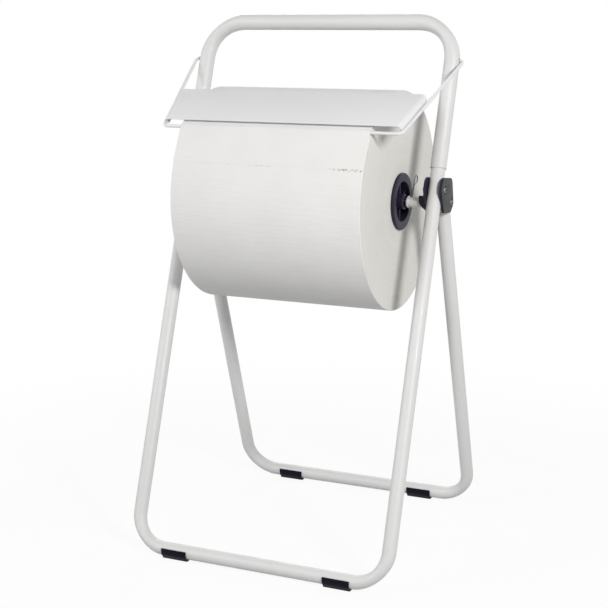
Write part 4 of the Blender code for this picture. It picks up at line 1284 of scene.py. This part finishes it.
# Outer and inner skin of the plate with its two curled sides, as one ring of (x, rise) points
def plateSection(inset, rise):
    drop = min(plate["sideRadius"], rise - wireTop - plate["gauge"])
    skins = ([], [])
    for side, label in leftRight:
        shoulder = bailEdge(side, inset) - side * (plate["sideInset"] + plate["sideRadius"])
        for skin, gauge in zip(skins, (0, plate["gauge"])):
            width = plate["sideRadius"] - gauge
            height = drop - gauge
            bend = [(shoulder + side * width * sin(a), rise - drop + height * cos(a))
                    for a in spaced(0, plate["curl"], plate["bendSteps"])]
            skin.extend(bend if side > 0 else reversed(bend))
    return skins[0] + skins[1][::-1]


# The plate's rear edge is as high as the roll below it asks for
def plateRearRise():
    local = Matrix.Rotation(-tilt, 3, "X") @ (axle - hook)
    behind = local.y + bail["reach"] - plate["frontInset"]
    away = Vector((behind, local.z + plate["gauge"] - plate["frontRise"]))
    clear = rollRadius + plate["rollClearance"]
    slope = atan2(away.y, away.x) + acos(sqrt(1 - min(1, clear / away.length) ** 2))
    return plate["frontRise"] + (plate["rearInset"] - plate["frontInset"]) * tan(slope)


def buildPlate():
    shape = bmesh.new()
    ends = []
    for inset, rise, cut in ((plate["frontInset"], plate["frontRise"], plate["frontCut"]),
                             (plate["rearInset"], plateRearRise(), 0)):
        ends.append([shape.verts.new(bailPoint(x, inset + max(0, wireTop - z) * cut, z))
                     for x, z in plateSection(inset, rise)])
    bridge(shape, *ends)
    for ring in ends:
        half = len(ring) // 2
        bridge(shape, ring[:half], ring[:half - 1:-1], closed=False)
    piece = linked("tearPlate", finishMesh(shape))
    finished(softened(piece, plate["edge"], 2), "coat", "tear_bar", "tear_plate")


sheet = {
    "thickness": 0.0005,
    "endThickness": 0.00012,
    "start": 0.092,
    "drop": 0.060,
    "slant": 0.004,
    "steps": 36,
    "wireSteps": 12,
    "columns": 160,
    "gap": 0.0003,
    "endGap": 0.00005,
    "taper": 0.012,
    "toothLength": 0.0011,
    # Spans across the sheet, with the strength of the painted shadow specks at its torn end
    "tornShadows": ((0.16, 0.31, 0.35), (0.40, 0.53, 0.35), (0.82, 0.99, 0.9)),
    "tornShadowRows": 2,
}


# Points with their outward directions: along the roll, over the wire and down to the torn end
def sheetPath():
    wire = Vector((hook.y - bail["reach"] * cos(tilt), hook.z - bail["reach"] * sin(tilt)))
    middle = Vector((axle.y, axle.z))
    lay = rollRadius + sheet["gap"] + sheet["thickness"] / 2
    over = bail["wire"] + sheet["gap"] + sheet["thickness"] / 2
    wireAngle = atan2(wire.y - middle.y, wire.x - middle.x)
    spread = acos((lay - over) / (wire - middle).length)
    lift = wireAngle - spread
    landing = wireAngle + spread
    spans = ((middle, lay, lift - (sheet["start"] - lay * spread) / lay, lift, sheet["steps"]),
             (wire, over, lift, landing, sheet["wireSteps"]),
             (middle, lay, landing, wireAngle + sheet["drop"] / lay, sheet["steps"]))
    return [(centre + radius * Vector((cos(a), sin(a))), Vector((cos(a), sin(a))))
            for centre, radius, first, last, steps in spans for a in spaced(first, last, steps)]


def buildSheet():
    points = sheetPath()
    last = len(points) - 1
    shape = bmesh.new()
    torn = shape.verts.layers.float.new("tornShadowShare")
    rows = []
    length = sum((points[k + 1][0] - points[k][0]).length for k in range(last))
    columns = sheet["columns"]
    travelled = 0
    for index, (point, out) in enumerate(points):
        if index:
            travelled += (point - points[index - 1][0]).length
        run = (points[min(index + 1, last)][0] - points[max(index - 1, 0)][0]).normalized()
        thin = max(0, (travelled - length + sheet["taper"]) / sheet["taper"])
        thickness = sheet["thickness"] + (sheet["endThickness"] - sheet["thickness"]) * thin
        settled = (sheet["endGap"] - sheet["gap"] + (thickness - sheet["thickness"]) / 2) * thin
        row = ([], [])
        # The last rows carry the painted shadow of the torn edge
        tornShadowRow = index > last - sheet["tornShadowRows"]
        for column in range(columns + 1):
            share = column / columns
            levels = [level for low, high, level in sheet["tornShadows"] if low < share < high]
            x = rollMiddle + (share * 2 - 1) * rollHalf
            ahead = 0
            if index == last:
                tooth = sheet["toothLength"] * (0.5 + 0.5 * sin(column * pi / 2))
                ahead = (share - 0.5) * sheet["slant"] + tooth
            for skin, offset in zip(row, (thickness / 2, -thickness / 2)):
                spot = point + out * (offset + settled) + run * ahead
                skin.append(shape.verts.new((x, spot.x, spot.y)))
                skin[-1][torn] = max(levels, default=0) if tornShadowRow else 0
        rows.append(row)
    for first, second in zip(rows, rows[1:]):
        for skin in (0, 1):
            bridge(shape, first[skin], second[skin], closed=False)
        for k in (0, columns):
            shape.faces.new((first[0][k], second[0][k], second[1][k], first[1][k]))
    for row in (rows[0], rows[-1]):
        bridge(shape, *row, closed=False)
    piece = linked("looseSheet", finishMesh(shape))
    finished(piece, "sheet", "tear_bar", "free_sheet")
    print("sheet length", round(length, 4))


buildWire()
buildPlate()
buildSheet()
print("tear bar built")

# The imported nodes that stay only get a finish
plain = {"axle_plug": "plastic", "rear_plug": "plastic", "pivot_bush": "zinc"}
for name, finish in plain.items():
    for node in bothSides(name):
        painted(frame["nodes"][node], finish)

# Floor, light and camera; a lamp has its place, target, size, power and colour
studio = {
    "floorSize": 8.0,
    "floorSides": 96,
    "floorRough": 0.9,
    "floorSpecular": 0.1,
    "floorBounce": (0.50, 0.50, 0.50),
    "floorSeen": (0.95, 0.95, 0.95),
    "worldFill": 0.27,
    "shadowShare": 0.10,
    "fadeStart": 0.55,
    "fadeEnd": 1.2,
    "lamps": {
        "frontLeft": ((-1.6, -2.2, 1.6), (0, 0, 0.55), 1.2, 21, (1, 1, 1)),
        "left": ((-2.6, -0.6, 1.2), (0, 0, 0.55), 1.2, 15, (1, 1, 1)),
        "rightBox": ((2.02, -1.57, 1.51), (0.154, 0, 0.6), 0.66, 45, (1, 0.99, 0.97)),
        "backRight": ((1.6, 2.2, 1.6), (0, 0, 0.55), 1.2, 6, (1, 1, 1)),
        "backLeft": ((-1.2, 2.4, 1.5), (0, 0, 0.55), 1.2, 16, (1, 1, 1)),
    },
}


# 1 where the camera sees it, straight, mirrored or through glass
def seenMask(tree):
    paths = addNode(tree, "ShaderNodeLightPath").outputs
    seen = mathNode(tree, "MAXIMUM", paths["Is Camera Ray"], paths["Is Glossy Ray"])
    return mathNode(tree, "MAXIMUM", seen, paths["Is Transmission Ray"])


def buildFloor():
    material, tree, place, normal = surface("paleFloor")
    shader = tree.nodes["Principled BSDF"]
    seen = seenMask(tree)
    fill(tree, shader.inputs["Roughness"], studio["floorRough"])
    fill(tree, shader.inputs["Specular IOR Level"], studio["floorSpecular"])
    fill(tree, shader.inputs["Base Color"], mixed(tree, seen, studio["floorBounce"], studio["floorSeen"]))
    distance = addNode(tree, "ShaderNodeVectorMath", {0: place}, operation="LENGTH")
    clear = mapped(tree, distance.outputs["Value"], studio["fadeStart"], studio["fadeEnd"],
                   1 - studio["shadowShare"], 1)
    blend = addNode(tree, "ShaderNodeMixShader", {
        "Fac": product(tree, seen, clear),
        1: shader.outputs[0],
        2: tree.nodes.new("ShaderNodeEmission").outputs[0],
    })
    tree.links.new(blend.outputs[0], tree.nodes["Material Output"].inputs["Surface"])
    shape = bmesh.new()
    bmesh.ops.create_circle(shape, cap_ends=True, segments=studio["floorSides"], radius=studio["floorSize"])
    mesh = bpy.data.meshes.new("floor")
    shape.to_mesh(mesh)
    shape.free()
    mesh.materials.append(material)
    linked("floor", mesh)


def buildWorld():
    world = bpy.data.worlds.new("studioWorld")
    bpy.context.scene.world = world
    world.use_nodes = True
    tree = world.node_tree
    background = tree.nodes["Background"]
    fill(tree, background.inputs["Color"], (1, 1, 1, 1))
    fill(tree, background.inputs["Strength"], mapped(tree, seenMask(tree), 0, 1, studio["worldFill"], 1))


def buildLamps():
    for name, (place, target, size, power, colour) in studio["lamps"].items():
        lamp = bpy.data.lights.new(name, "AREA")
        lamp.shape = "DISK"
        lamp.size = size
        lamp.energy = power
        lamp.color = colour
        holder = linked(name, lamp)
        holder.location = place
        holder.rotation_euler = (Vector(target) - Vector(place)).to_track_quat("-Z", "Y").to_euler()


camera = {
    "place": (0.8586, -1.9606, 0.8424),
    "yaw": 0.4177,
    "pitch": 0.2089,
    "roll": -0.0006,
    "focalPixels": 1330.94,
    "centrePixel": (304.08, 303.10),
    "imageSize": 608,
    "sensor": 36,
}


def buildCamera():
    data = bpy.data.cameras.new("camera")
    data.sensor_width = camera["sensor"]
    data.lens = camera["focalPixels"] * camera["sensor"] / camera["imageSize"]
    middle = camera["imageSize"] / 2
    data.shift_x = (middle - camera["centrePixel"][0]) / camera["imageSize"]
    data.shift_y = (camera["centrePixel"][1] - middle) / camera["imageSize"]
    yaw, pitch = camera["yaw"], camera["pitch"]
    ahead = Vector((-sin(yaw) * cos(pitch), cos(yaw) * cos(pitch), -sin(pitch)))
    right = Vector((cos(yaw), sin(yaw), 0))
    up = right.cross(ahead)
    rolled = cos(camera["roll"]) * right + sin(camera["roll"]) * up
    rolledUp = -sin(camera["roll"]) * right + cos(camera["roll"]) * up
    turn = Matrix((rolled, rolledUp, -ahead)).transposed()
    holder = linked("camera", data)
    holder.matrix_world = Matrix.Translation(camera["place"]) @ turn.to_4x4()
    bpy.context.scene.camera = holder


buildFloor()
buildWorld()
buildLamps()
buildCamera()
bpy.context.scene.view_settings.view_transform = "Standard"
print("studio ready")
